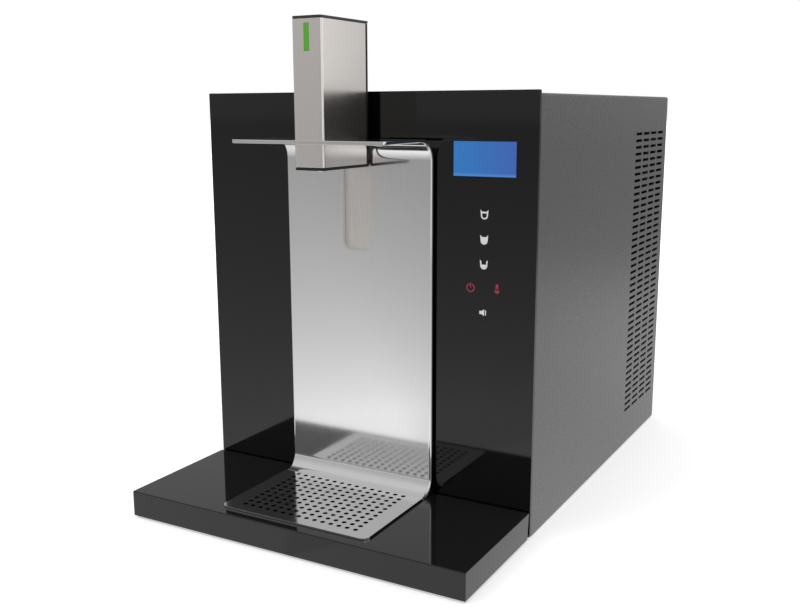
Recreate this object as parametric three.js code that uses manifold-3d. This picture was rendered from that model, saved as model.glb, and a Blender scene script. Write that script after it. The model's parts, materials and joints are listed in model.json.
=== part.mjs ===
// Countertop water dispenser with a height-adjustable dispensing head.
// Millimetres, +Z up, front towards -Y. The origin lies on the counter, at the middle of the footprint.
import * as THREE from 'three';
import { mergeVertices } from 'three/addons/utils/BufferGeometryUtils.js';
import Module from 'manifold-3d';

const wasm = await Module();
wasm.setup();

// Overall sizes
const bodyWidth = 350;
const caseHeight = 393;
const caseDepth = 410.7;
const panelHeight = 395.7;
const panelThick = 3;
const panelCorner = 1;
const baseReach = 134.5;
const baseHeight = 24.5;
const footReach = 2;
const fittingReach = 14;

// Clearances and shared sheet sizes
const seat = 0.3;
const running = 0.1;
const overrun = 5;
const steelSheet = 1.2;
const caseBend = 2.5;
const flange = 14;

// Base of the drip area
const baseWall = 2.5;
const baseGapTop = 2.2;
const baseGapFoot = 5;
const baseEdge = 1;
const wellBehind = 9;
const dockWidth = 20;
const dockThick = 3;
const dockReach = 60;
const dockInner = 44;
const dockSideGap = 55;
const footRadius = 11;
const footStem = 3.6;
const footInset = 26;
const floorCorner = 1;

// Splash sheet
const sheetHalf = 77.9;
const sheetStand = 7;
const sheetEdge = 3.2;
const footBend = 14;
const shelfBend = 15.5;
const shelfUnder = 351.2;
const shelfReach = 90;
const shelfCorner = 4;
const recessFoot = 251;
const recessCorner = 8;
const recessDepth = 5.2;
const edgeRoll = 2.6;
const rollSteps = 3;
const bendSteps = 6;
const carrierInset = 2.7;
const carrierTop = 331;
const slotGap = 0.8;
const slotTipGap = 1.4;

// Drip grille and pan
const grilleReach = 123.6;
const grilleSideGap = 0.8;
const grilleThick = 1.6;
const grilleLap = 3;
const grilleCorner = 7;
const grilleRearCorner = 1;
const grilleEdge = 0.8;
const holeColumns = 15;
const holeRows = 11;
const holePitch = 8.45;
const holeRadius = 2.25;
const holeSides = 6;
const holeFrontMargin = 13;
const panWall = 1.8;
const panCorner = 5;
const panPlay = 5.5;
const panRearGap = 1;
const panTopGap = 5.7;

// Dispensing head
const headHalf = 14.9;
const headFront = 83.4;
const headRear = 8.6;
const headFoot = 329;
const headTop = 456;
const headWall = 1.2;
const headCorner = 3;
const backCoverDepth = 4;
const backCoverCorner = 1.5;
const capThick = 2;
const basePlateThick = 2.2;
const headTravel = 75;
const nozzlePlace = 70;
const nozzleRadius = 8;
const nozzleBore = 4;
const nozzleDrop = 1.6;
const nozzleHeight = 24;
const nozzleFlange = 2;
const nozzleWall = 3;
const barHalf = 2.5;
const barLength = 22;
const barDrop = 6.2;
const barDepth = 3;

// Neck, carriage and guide rods behind the front
const neckHalf = 8;
const neckBore = 4;
const neckPlate = 3;
const neckPlateMargin = 3;
const neckPlateRise = 6;
const neckPlateSide = 8;
const neckSlotEnd = 2;
const panelSlotMargin = 1;
const bulkheadSlotMargin = 3;
const carriageHalf = 27;
const carriageHeight = 30;
const carriageDepth = 20;
const carriageGap = 2;
const carriageCorner = 3;
const carriageArm = 7;
const barbReach = 4;
const barbWall = 1.5;
const barbDrop = 4;
const rodRadius = 4;
const rodSpacing = 34;
const rodSides = 12;
const rodMargin = 18;
const bracketHeight = 10;
const bracketMargin = 3;
const bracketWall = 4;
const bracketFoot = 2;
const rodEnd = 2;
const shutterHalf = 18.5;
const shutterThick = 1.2;
const shutterPlay = 1;
const shutterLap = 5;
const shutterEnd = 3;
const tubeRadius = 3;
const tubeBend = 14;
const tubeRise = 6;
const tubeRun = 10;

// Louvre slots near the rear of both sides
const slotLength = 22.9;
const slotHeight = 3;
const slotColumns = 4;
const slotColumnPitch = 29.3;
const slotRows = 44;
const leftSlotRows = 6;
const slotRowPitch = 7.27;
const slotFirstRow = 40;
const slotRearMargin = 14.7;

// Display and touch keys
const displayWide = 61;
const displayHigh = 32;
const displaySideGap = 49.7;
const displayZ = 337.7;
const displayMetalMargin = 3.5;
const displayMetalDepth = 6;
const boardThick = 1.6;
const displayBoardMargin = 11;
const touchBoardHalf = 28;
const touchBoardFoot = 190;
const touchBoardTop = 306;
const standoffRadius = 3;
const touchComponentDepth = 4;
const touchComponentShares = [[0.62, 0.34, 0.2, 0.1, 0.4], [0.18, 0.07, 0.22, 0.07, 1]];
const boardStandoff = 10;
const boardHoleInset = 6;
const controlBoardSideGap = 15;
const controlBoardRight = -48;
const controlBoardFoot = 270;
const controlBoardTop = 372;
const controlComponentDepth = 15;
const controlComponentShares = [[0.12, 0.14, 0.16, 0.16, 1], [0.32, 0.14, 0.16, 0.16, 1],
  [0.52, 0.14, 0.16, 0.16, 1], [0.18, 0.46, 0.42, 0.24, 0.3], [0.12, 0.84, 0.68, 0.09, 0.7],
  [0.72, 0.1, 0.2, 0.14, 0.8]];
const capacitorRadius = 6;
const capacitorHeight = 18;
const capacitorPlaceShares = [[0.8, 0.38], [0.8, 0.56]];

// Power supply on the rear panel
const supplySideGap = 19;
const supplyWide = 110;
const supplyFoot = 236;
const supplyTop = 300;
const supplyDepth = 42;
const supplyBoardGap = 8;
const supplyBoardInset = 3;
const supplyComponentDepth = 28;
const supplyComponentShares = [[0.36, 0.24, 0.28, 0.48, 0.95], [0.72, 0.18, 0.18, 0.66, 0.8],
  [0.1, 0.3, 0.2, 0.36, 1]];

// Mains inlet with its switch, one module
const inletWide = 27;
const inletHigh = 20;
const inletSideGap = 55;
const inletZ = 60;
const inletDepth = 18;
const inletRim = 3;
const rimThick = 2;
const recessWall = 1.6;
const recessChamfer = 5;
const pinReach = 5;
const pinWide = 2;
const pinHigh = 4;
const pinSpacing = 7;
const pinLift = 2.5;
const pinDrop = 1.5;
const switchWide = 13;
const switchGap = 24;
const rockerHalf = 4.6;
const rockerRadius = 8.6;
const rockerAxisDepth = 5;
const rockerTilt = 12;
const rockerPin = 1.2;
const rockerPinLength = 1;

// Water connections at the rear
const fittingPlaceShare = 0.177;
const fittingZ = 60;
const fittingBody = 8;
const fittingCollar = 4;
const fittingNut = 6;
const fittingInner = 22;
const fittingSpigot = 5;
const tubeBore = 4;
const colletWall = 2.4;
const colletReach = 3;
const drainX = 20;
const drainZ = 32;
const drainBody = 7;
const drainCap = 3;
const drainCapHeight = 8;
const drainLength = 16;

// Cold tank
const tankSideGap = 13;
const tankRight = 24;
const tankGap = 62;
const tankDeep = 170;
const tankHigh = 232;
const tankWall = 20;
const tankCorner = 6;
const vesselCorner = 12;
const vesselWall = 1.5;
const lidPlate = 7;
const lidPlug = 14;
const coilTurns = 4;
const coilPitch = 30;
const coilRadius = 52;
const coilCore = 36;
const coilFoot = 24;
const coilLead = 14;
const lineRadius = 3.2;

// Compressor
const compressorPlaceShare = 0.177;
const compressorLift = 10;
const compressorGap = 24;
const canRadius = 58;
const canStretch = 1.25;
const canHeight = 118;
const canShares = [[0, 0], [0.72, 0], [0.95, 0.1], [1, 0.22], [1, 0.78], [0.9, 0.91], [0.6, 0.99], [0, 1]];
const canPortSpread = 26;
const canPortHeight = 10;
const canPortWall = 1.2;
const seamShare = 0.55;
const seamWidth = 4;
const seamHeight = 4;
const legWide = 170;
const legDeep = 104;
const legThick = 3;
const grommetRadius = 9;
const grommetInset = 12;
const relayWide = 24;
const relayDeep = 36;
const relayHigh = 40;

// Condenser and its fan
const condenserThick = 38;
const condenserGap = 4;
const condenserMargin = 4;
const condenserLift = 3;
const condenserPortDrop = 14;
const fins = 12;
const finThick = 1.5;
const coreThick = 8;
const fanRadius = 54;
const fanZ = 200;
const shroudThick = 1.5;
const shroudCollar = 16;
const hubRadius = 18;
const hubDepth = 10;
const rotorDepth = 12;
const tipGap = 2;
const blades = 5;
const bladeThick = 1.4;
const bladeSweep = 48;
const bladePitch = 16;
const bladeSkew = 14;
const motorRadius = 20;
const motorLength = 34;
const motorGap = 4;
const shaftRadius = 2.5;
const armHalf = 4;
const armThick = 3;

// Copper lines
const drierPlaceShare = 0.4;
const drierHoseGap = 17;
const drierY = 262;
const drierZ = 40;
const drierRadius = 10;
const drierLength = 70;
const drierTaper = 10;
const lineWall = 1;
const capillaryRadius = 1.6;

// Pump, valves and hoses
const hoseRadius = 5;
const pumpSideGap = 79;
const pumpY = 112;
const pumpAxisZ = 32;
const pumpRadius = 24;
const pumpMotor = 62;
const pumpHead = 24;
const pumpStandHalf = 26;
const pumpSaddleHalf = 16;
const pumpStandThick = 3;
const pumpOutletReach = 34;
const pumpInletReach = 12;
const pumpPortSpread = 8;
const valveHalf = 12;
const valveLength = 30;
const valveCoil = 11;
const valveCoilHeight = 28;
const valveFootHalf = 14;
const valveFootThick = 2;
const valvePort = 10;
const pourValveX = 42;
const pourValveZ = 150;
const pourValveWide = 46;
const pourValveDeep = 26;
const pourValveHigh = 26;
const pourPortInset = 12;

// Places across the case, measured from its sides
const displayX = bodyWidth / 2 - displaySideGap;
const controlBoardLeft = -bodyWidth / 2 + controlBoardSideGap;
const supplyLeft = -bodyWidth / 2 + supplySideGap;
const supplyRight = supplyLeft + supplyWide;
const inletX = -bodyWidth / 2 + inletSideGap;
const switchX = inletX + switchGap;
const tankLeft = -bodyWidth / 2 + tankSideGap;
const compressorX = -bodyWidth * compressorPlaceShare;
const pumpX = bodyWidth / 2 - pumpSideGap;
const fittingX = bodyWidth * fittingPlaceShare;
const drierX = fittingX + (pumpX + pumpPortSpread - fittingX) * drierPlaceShare - drierHoseGap;
const dockX = bodyWidth / 2 - dockSideGap;

// Places along the case, measured from its floor and its front
const floorTop = footReach + steelSheet;
const faceY = baseReach - (baseReach + panelThick + caseDepth + fittingReach) / 2;
const caseFront = faceY + panelThick + seat;
const rearY = faceY + panelThick + caseDepth;
const caseTop = footReach + caseHeight;
const innerHalf = bodyWidth / 2 - steelSheet - seat;
const bulkheadRear = caseFront + steelSheet;
const rearPanelFront = rearY - steelSheet;
const deckTop = footReach + baseHeight;
const grilleTop = deckTop + seat + grilleThick;
const baseFront = faceY - baseReach;
const sheetFront = faceY - sheetStand;
const grilleRear = sheetFront - footBend - seat;
const louvreRear = rearY - slotRearMargin;
const louvreFront = louvreRear - (slotColumns - 1) * slotColumnPitch - slotLength;
const louvreTop = footReach + slotFirstRow + (slotRows - 1) * slotRowPitch;

const dispenser = new THREE.Group();

// Adds one finished piece to the assembly
function add(name, geometry, color, roughness, metalness) {
  const material = new THREE.MeshStandardMaterial({ color, roughness, metalness });
  const mesh = new THREE.Mesh(geometry, material);
  mesh.name = name;
  dispenser.add(mesh);
}

// Turns a closed geometry into a solid that can be joined and cut
function solid(geometry) {
  const bare = geometry.index ? geometry.toNonIndexed() : geometry.clone();
  bare.deleteAttribute('normal');
  bare.deleteAttribute('uv');
  const merged = mergeVertices(bare);
  const vertProperties = new Float32Array(merged.attributes.position.array);
  const triVerts = new Uint32Array(merged.index.array);
  return new wasm.Manifold(new wasm.Mesh({ numProp: 3, vertProperties, triVerts }));
}

// Turns a solid back into a geometry
function shapeOf(body) {
  const mesh = body.getMesh();
  const geometry = new THREE.BufferGeometry();
  geometry.setAttribute('position', new THREE.BufferAttribute(new Float32Array(mesh.vertProperties), 3));
  geometry.setIndex(new THREE.BufferAttribute(new Uint32Array(mesh.triVerts), 1));
  return geometry;
}

function join(...bodies) {
  return bodies.reduce((whole, body) => whole.add(body));
}

function cut(body, ...tools) {
  return tools.reduce((rest, tool) => rest.subtract(tool), body);
}

// A box between two corners
function block(x0, x1, y0, y1, z0, z1) {
  const geometry = new THREE.BoxGeometry(x1 - x0, y1 - y0, z1 - z0);
  geometry.translate((x0 + x1) / 2, (y0 + y1) / 2, (z0 + z1) / 2);
  return solid(geometry);
}

const axisX = new THREE.Vector3(1, 0, 0);
const axisY = new THREE.Vector3(0, 1, 0);
const axisZ = new THREE.Vector3(0, 0, 1);

// Extrudes an outline along one axis. The outline's own axes are YZ for x, XZ for y and XY for z.
function prism(axis, outline, from, to, curveSegments = 2) {
  const settings = { depth: to - from, bevelEnabled: false, curveSegments };
  const geometry = new THREE.ExtrudeGeometry(outline, settings);
  const turn = new THREE.Matrix4();
  if (axis === 'x') {
    turn.makeBasis(axisY, axisZ, axisX);
    geometry.applyMatrix4(turn).translate(from, 0, 0);
  } else if (axis === 'y') {
    turn.makeBasis(axisX, axisZ, axisY.clone().negate());
    geometry.applyMatrix4(turn).translate(0, to, 0);
  } else {
    geometry.translate(0, 0, from);
  }
  return solid(geometry);
}

function outlineOf(points) {
  return new THREE.Shape(points.map(([a, b]) => new THREE.Vector2(a, b)));
}

// A rectangle with rounded corners; a corner radius of zero leaves that corner sharp.
// The corners run low-low, high-low, high-high, low-high.
function roundedOutline(a0, a1, b0, b1, corners) {
  const [ll, hl, hh, lh] = Array.isArray(corners) ? corners : [corners, corners, corners, corners];
  const shape = new THREE.Shape();
  shape.moveTo(a0 + ll, b0);
  shape.lineTo(a1 - hl, b0);
  if (hl > 0) shape.absarc(a1 - hl, b0 + hl, hl, -Math.PI / 2, 0, false);
  shape.lineTo(a1, b1 - hh);
  if (hh > 0) shape.absarc(a1 - hh, b1 - hh, hh, 0, Math.PI / 2, false);
  shape.lineTo(a0 + lh, b1);
  if (lh > 0) shape.absarc(a0 + lh, b1 - lh, lh, Math.PI / 2, Math.PI, false);
  shape.lineTo(a0, b0 + ll);
  if (ll > 0) shape.absarc(a0 + ll, b0 + ll, ll, Math.PI, Math.PI * 1.5, false);
  return shape;
}

// A round bar between two places on one axis
function bar(axis, a, b, radius, from, to, sides = 8) {
  const points = [];
  for (let side = 0; side < sides; side += 1) {
    const angle = ((side + 0.5) / sides) * Math.PI * 2;
    points.push([a + radius * Math.cos(angle), b + radius * Math.sin(angle)]);
  }
  return prism(axis, outlineOf(points), from, to);
}

// A turned piece: pairs of radius and height, from the axis round to the axis again
function turned(profile, sides = 12) {
  const points = profile.map(([radius, height]) => new THREE.Vector2(radius, height));
  const geometry = new THREE.LatheGeometry(points, sides);
  geometry.rotateX(Math.PI / 2);
  return solid(geometry);
}

// A tube along a smooth curve through the given places
function tube(places, radius, steps, sides = 6) {
  const points = places.map((place) => new THREE.Vector3(...place));
  const curve = new THREE.CatmullRomCurve3(points, false, 'centripetal');
  const section = [];
  for (let side = 0; side < sides; side += 1) {
    const angle = (side / sides) * Math.PI * 2;
    section.push([radius * Math.cos(angle), radius * Math.sin(angle)]);
  }
  const settings = { steps, bevelEnabled: false, extrudePath: curve };
  return solid(new THREE.ExtrudeGeometry(outlineOf(section), settings));
}

const up = [0, 0, 1];
const down = [0, 0, -1];
const frontward = [0, -1, 0];
const rearward = [0, 1, 0];

function moved(place, way, length) {
  return place.map((value, axis) => value + way[axis] * length);
}

// A line between two ports: a straight lead at each end, and bends at shares of the way from one to the other
function route(from, fromWay, to, toWay, lead, bendShares) {
  const start = moved(from, fromWay, seat);
  const end = moved(to, toWay, seat);
  const bends = bendShares.map((shares) => from.map((value, axis) => (
    value + (to[axis] - value) * shares[axis])));
  return [start, moved(start, fromWay, lead), ...bends, moved(end, toWay, lead), end];
}

// Casing

// A push-in foot through the floor of the chassis
function makeFoot([x, y]) {
  const stemTop = floorTop + 2 * steelSheet;
  const profile = [[0, 0], [footRadius, 0], [footRadius, footReach - seat], [footStem, footReach - seat],
    [footStem, floorTop + seat], [footStem + 1.5 * seat, floorTop + steelSheet], [0, stemTop]];
  return turned(profile, 8).translate([x, y, 0]);
}

const footSide = bodyWidth / 2 - footInset;
const footPlaces = {
  foot_rear_right: [footSide, rearY - footInset],
  foot_rear_left: [-footSide, rearY - footInset],
  foot_front_right: [footSide, caseFront + footInset],
  foot_front_left: [-footSide, caseFront + footInset],
};

function footHoles() {
  return Object.values(footPlaces).map(([x, y]) => (
    bar('z', x, y, footStem + seat, -overrun, floorTop + overrun)));
}

function makeChassisTray() {
  const front = bulkheadRear + seat;
  const rear = rearPanelFront - seat - steelSheet;
  const outer = block(-innerHalf, innerHalf, front, rear, footReach, footReach + flange);
  const inner = block(-innerHalf + steelSheet, innerHalf - steelSheet, front + steelSheet, rear - steelSheet,
    floorTop, footReach + flange + overrun);
  return cut(outer, inner, ...footHoles(), dockNotches());
}

// A flat bracket carries the base: two bars from inside the base to a cross strip on the floor of the chassis
function makeDockBracket() {
  const low = floorTop + 2 * seat;
  const rear = bulkheadRear + dockInner;
  const half = dockX + dockWidth / 2;
  const bars = [-dockX, dockX].map((x) => block(x - dockWidth / 2, x + dockWidth / 2, faceY - dockReach, rear,
    low, low + dockThick));
  return join(...bars, block(-half, half, rear - dockWidth, rear, low, low + dockThick));
}

function dockNotches() {
  const low = floorTop;
  const high = floorTop + 3 * seat + dockThick;
  const half = dockWidth / 2 + seat;
  const front = faceY - baseGapFoot - baseWall - overrun;
  const back = bulkheadRear + seat + steelSheet + overrun;
  return join(...[-dockX, dockX].map((x) => block(x - half, x + half, front, back, low, high)));
}

function louvres(side, rows) {
  const slots = [];
  const x0 = side > 0 ? bodyWidth / 2 - steelSheet - overrun : -bodyWidth / 2 - overrun;
  const x1 = x0 + steelSheet + 2 * overrun;
  for (let row = 0; row < rows; row += 1) {
    const z = footReach + slotFirstRow + row * slotRowPitch;
    for (let column = 0; column < slotColumns; column += 1) {
      const y = louvreFront + column * slotColumnPitch;
      slots.push(block(x0, x1, y, y + slotLength, z - slotHeight / 2, z + slotHeight / 2));
    }
  }
  return wasm.Manifold.compose(slots);
}

// Turns a piece that was drawn upright so that it points to the rear
function alongRear(body) {
  return body.rotate([-90, 0, 0]);
}

function makeCaseShell() {
  const half = bodyWidth / 2;
  const outer = roundedOutline(-half, half, footReach, caseTop, [0, 0, caseBend, caseBend]);
  const inside = caseBend - steelSheet;
  const innerX = half - steelSheet;
  const innerTop = caseTop - steelSheet;
  const inner = roundedOutline(-innerX, innerX, footReach - overrun, innerTop, [0, 0, inside, inside]);
  const wrap = cut(prism('y', outer, caseFront, rearY),
    prism('y', inner, caseFront - overrun, rearY + overrun));
  const lipRear = rearPanelFront - seat;
  const lipFrame = roundedOutline(-innerX, innerX, footReach + flange, innerTop, 0);
  const lipOpening = roundedOutline(-innerX + flange, innerX - flange, footReach - overrun,
    innerTop - flange, 0);
  const lips = cut(prism('y', lipFrame, lipRear - steelSheet, lipRear),
    prism('y', lipOpening, lipRear - steelSheet - overrun, lipRear + overrun));
  return cut(join(wrap, lips), louvres(1, slotRows), louvres(-1, leftSlotRows));
}

function neckSlot(half, y0, y1) {
  const low = headNeckZ() - neckHalf - headTravel - neckSlotEnd;
  const high = headNeckZ() + neckHalf + neckSlotEnd;
  return block(-half, half, y0, y1, low, high);
}

// Height of the neck's axis with the head raised
function headNeckZ() {
  return footReach + headFoot + basePlateThick + neckHalf + neckPlateMargin;
}

function makeFrontPanel() {
  const half = bodyWidth / 2;
  const outline = roundedOutline(-half, half, footReach, footReach + panelHeight, panelCorner);
  const plate = prism('y', outline, faceY, faceY + panelThick, 1);
  const window = displayOpening(0, faceY - overrun, faceY + panelThick + overrun);
  const slot = neckSlot(neckHalf + panelSlotMargin, faceY - overrun, faceY + panelThick + overrun);
  return cut(plate, window, slot, dockNotches());
}

function displayOpening(margin, y0, y1) {
  const halfWide = displayWide / 2 + margin;
  const halfHigh = displayHigh / 2 + margin;
  const z = footReach + displayZ;
  return block(displayX - halfWide, displayX + halfWide, y0, y1, z - halfHigh, z + halfHigh);
}

function makeDisplayWindow() {
  return displayOpening(-seat, faceY, faceY + panelThick);
}

function controlBoardCorners() {
  const left = controlBoardLeft + boardHoleInset;
  const right = controlBoardRight - boardHoleInset;
  const low = controlBoardFoot + boardHoleInset;
  const high = controlBoardTop - boardHoleInset;
  return [[left, low], [right, low], [right, high], [left, high]];
}

// The outline that fits inside the case shell
function insideOutline(low, high) {
  const corner = caseBend - steelSheet;
  return roundedOutline(-innerHalf, innerHalf, low, high, [0, 0, corner, corner]);
}

// Inner front: a folded sheet that the glass, the boards and the guide rods are fixed to
function makeFrontBulkhead() {
  const low = footReach;
  const high = caseTop - steelSheet - seat;
  const rear = bulkheadRear + flange;
  const outer = prism('y', insideOutline(low, high), caseFront, rear, 1);
  const inner = block(-innerHalf + steelSheet, innerHalf - steelSheet, bulkheadRear, rear + overrun,
    low - overrun, high + overrun);
  const studs = controlBoardCorners().map(([x, z]) => bar('y', x, z, standoffRadius,
    caseFront + steelSheet / 2, bulkheadRear + boardStandoff - seat, 6));
  const sheet = join(cut(outer, inner), ...studs);
  const touchHole = block(displayX - touchBoardHalf - seat, displayX + touchBoardHalf + seat,
    caseFront - overrun, bulkheadRear + overrun, footReach + touchBoardFoot - seat,
    footReach + touchBoardTop + seat);
  return cut(sheet, neckSlot(neckHalf + bulkheadSlotMargin, caseFront - overrun, bulkheadRear + overrun),
    displayOpening(displayMetalMargin + seat, caseFront - overrun, bulkheadRear + overrun),
    touchHole, dockNotches(), trayClearance());
}

// The bulkhead's side flanges stand outside the tray's end
function trayClearance() {
  return block(-innerHalf - overrun, innerHalf + overrun, bulkheadRear + seat / 2,
    bulkheadRear + flange + overrun, footReach - overrun, footReach + flange + seat);
}

function rearCutouts() {
  const y0 = rearPanelFront - overrun;
  const y1 = rearY + overrun;
  const module = block(inletX - inletWide / 2 - seat, switchX + switchWide / 2 + seat, y0, y1,
    inletZ - inletHigh / 2 - seat, inletZ + inletHigh / 2 + seat);
  return [module, bar('y', fittingX, fittingZ, fittingBody + 2 * seat, y0, y1, 12),
    bar('y', drainX, drainZ, drainBody + 2 * seat, y0, y1, 12)];
}

function makeRearPanel() {
  const outline = insideOutline(footReach, caseTop - steelSheet - seat);
  return cut(prism('y', outline, rearPanelFront, rearY, 1), ...rearCutouts());
}

// Base and drip tray

function grilleFront() {
  return faceY - grilleReach;
}

function grilleHalf() {
  return sheetHalf - grilleSideGap;
}

// The grille laps the edge of this opening, which runs on to the rear under the sheet's foot bend
function wellHalf() {
  return grilleHalf() - grilleLap;
}

function wellFront() {
  return grilleFront() + grilleLap;
}

function panOutline(inset) {
  const half = wellHalf() - panPlay - inset;
  return roundedOutline(-half, half, wellFront() + panPlay + inset, grilleRear - panRearGap - inset,
    panCorner - inset);
}

function baseOutline(inset, low) {
  const rearTop = faceY - baseGapTop - inset;
  const rearFoot = faceY - baseGapFoot - inset;
  const front = baseFront + inset;
  const top = deckTop - inset;
  const edge = inset > 0 ? 0 : baseEdge;
  const shape = new THREE.Shape();
  shape.moveTo(front, low);
  shape.lineTo(rearFoot, low);
  shape.lineTo(rearTop, top);
  shape.lineTo(front + edge, top);
  if (edge > 0) shape.absarc(front + edge, top - edge, edge, Math.PI / 2, Math.PI, false);
  shape.lineTo(front, low);
  return shape;
}

function makeBaseHousing() {
  const half = bodyWidth / 2;
  const shell = cut(prism('x', baseOutline(0, footReach), -half, half),
    prism('x', baseOutline(baseWall, footReach - overrun), -half + baseWall, half - baseWall));
  const well = block(-wellHalf(), wellHalf(), wellFront(), grilleRear + wellBehind,
    deckTop - baseWall - overrun, deckTop + overrun);
  return cut(shell, well, dockNotches());
}

// The floor of the base, with two moulded pads that it stands on
function makeBaseFloor() {
  const inset = baseWall + seat;
  const outline = roundedOutline(-bodyWidth / 2 + inset, bodyWidth / 2 - inset, baseFront + inset,
    faceY - baseGapFoot - inset, floorCorner);
  const pads = [-footSide, footSide].map((x) => bar('z', x, baseFront + footInset, footRadius, 0, floorTop));
  return join(prism('z', outline, footReach, floorTop, 1), ...pads);
}

// Pan that stands on the base's floor, under the grille
function makeDripPan() {
  const low = floorTop + seat;
  const high = deckTop - panTopGap;
  return cut(prism('z', panOutline(0), low, high, 1),
    prism('z', panOutline(panWall), low + panWall, high + overrun));
}

// Perforated plate that lies on the deck, its upper edge eased
function makeDripGrille() {
  const corners = [grilleCorner, grilleCorner, grilleRearCorner, grilleRearCorner];
  const plate = (inset) => roundedOutline(-grilleHalf() + inset, grilleHalf() - inset, grilleFront() + inset,
    grilleRear - inset, corners.map((corner) => Math.max(corner - inset, grilleRearCorner - grilleEdge)));
  const low = grilleTop - grilleThick;
  const eased = prism('z', plate(grilleEdge), low, grilleTop);
  return cut(join(prism('z', plate(0), low, grilleTop - grilleEdge), eased), grilleHoles());
}

function grilleHoles() {
  const holes = [];
  for (let row = 0; row < holeRows; row += 1) {
    for (let column = 0; column < holeColumns; column += 1) {
      const x = (column - (holeColumns - 1) / 2) * holePitch;
      const y = grilleFront() + holeFrontMargin + row * holePitch;
      holes.push(bar('z', x, y, holeRadius, deckTop, grilleTop + overrun, holeSides));
    }
  }
  return wasm.Manifold.compose(holes);
}

// Splash sheet

// Side view of a turned-back edge, through the foot bend, the standing face, the shelf bend and the hood
function sheetEdgeOutline() {
  const { footY, footZ, shelfY, shelfZ, under, tip } = sheetPlaces();
  const shape = new THREE.Shape();
  shape.moveTo(footY, grilleTop);
  shape.absarc(footY, footZ, footBend, -Math.PI / 2, 0, false);
  shape.lineTo(sheetFront, shelfZ);
  shape.absarc(shelfY, shelfZ, shelfBend, 0, Math.PI / 2, false);
  shape.lineTo(tip, under);
  shape.lineTo(tip, under + sheetEdge);
  shape.lineTo(shelfY, under + sheetEdge);
  shape.absarc(shelfY, shelfZ, shelfBend + sheetEdge, Math.PI / 2, 0, true);
  shape.lineTo(sheetFront + sheetEdge, footZ);
  shape.absarc(footY, footZ, footBend + sheetEdge, 0, -Math.PI / 2, true);
  return shape;
}

function sheetPlaces() {
  const under = footReach + shelfUnder;
  return {
    footY: sheetFront - footBend,
    footZ: grilleTop + footBend,
    shelfY: sheetFront - shelfBend,
    shelfZ: under - shelfBend,
    under,
    tip: faceY - shelfReach,
  };
}

// Section across the sheet, as places across and depths behind its face: flat, with both sides rolled back
function sheetSection() {
  const rolled = (radius, side, from, turn) => Array.from({ length: rollSteps + 1 }, (_, step) => {
    const angle = from + turn * step / rollSteps;
    return [side * (sheetHalf - edgeRoll + radius * Math.sin(angle)), edgeRoll - radius * Math.cos(angle)];
  });
  const quarter = Math.PI / 2;
  const inner = edgeRoll - steelSheet;
  const innerHalfWidth = sheetHalf - steelSheet;
  return [
    ...rolled(edgeRoll, -1, quarter, -quarter), ...rolled(edgeRoll, 1, 0, quarter),
    [sheetHalf, sheetEdge], [innerHalfWidth, sheetEdge],
    ...rolled(inner, 1, quarter, -quarter), ...rolled(inner, -1, 0, quarter),
    [-innerHalfWidth, sheetEdge], [-sheetHalf, sheetEdge],
  ];
}

// The section carried along the sheet's side view, from the foot to the hood's tip
function makeRolledSheet() {
  const { footY, footZ, shelfY, shelfZ, under, tip } = sheetPlaces();
  const section = sheetSection();
  const stations = [];
  const arcs = [[footY, footZ, footBend, -Math.PI / 2], [shelfY, shelfZ, shelfBend, 0]];
  for (const [y, z, radius, from] of arcs) {
    for (let step = 0; step <= bendSteps; step += 1) {
      const angle = from + Math.PI / 2 * step / bendSteps;
      const way = [Math.cos(angle), Math.sin(angle)];
      stations.push([y + radius * way[0], z + radius * way[1], ...way]);
    }
  }
  stations.push([tip, under, 0, 1]);
  const points = stations.flatMap(([y, z, wayY, wayZ]) => section.flatMap(
    ([x, depth]) => [x, y + wayY * depth, z + wayZ * depth]));
  const faces = [];
  const count = section.length;
  for (let ring = 0; ring + 1 < stations.length; ring += 1) {
    for (let corner = 0; corner < count; corner += 1) {
      const a = ring * count + corner;
      const b = ring * count + (corner + 1) % count;
      faces.push(a, b, b + count, a, b + count, a + count);
    }
  }
  const last = (stations.length - 1) * count;
  const flatSection = section.map(([x, depth]) => new THREE.Vector2(x, depth));
  for (const [a, b, c] of THREE.ShapeUtils.triangulateShape(flatSection, [])) {
    faces.push(a, c, b, last + a, last + b, last + c);
  }
  const geometry = new THREE.BufferGeometry();
  geometry.setAttribute('position', new THREE.Float32BufferAttribute(points, 3));
  geometry.setIndex(faces);
  return solid(geometry);
}

// The hood is folded double, so it is full between its rolled sides
function makeHoodCore() {
  const { shelfY, under, tip } = sheetPlaces();
  const half = sheetHalf - steelSheet / 2;
  const flat = sheetHalf - edgeRoll;
  const top = under + sheetEdge;
  return prism('y', outlineOf([[-flat, under + steelSheet / 2], [flat, under + steelSheet / 2],
    [half, under + edgeRoll], [half, top], [-half, top], [-half, under + edgeRoll]]), tip, shelfY);
}

function recessOutline(margin) {
  const low = footReach + recessFoot - margin;
  const high = footReach + shelfUnder + sheetEdge + overrun;
  const corner = recessCorner + margin;
  return roundedOutline(-headSlotHalf() - margin, headSlotHalf() + margin, low, high, [corner, corner, 0, 0]);
}

function headSlotHalf() {
  return headHalf + slotGap;
}

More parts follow.
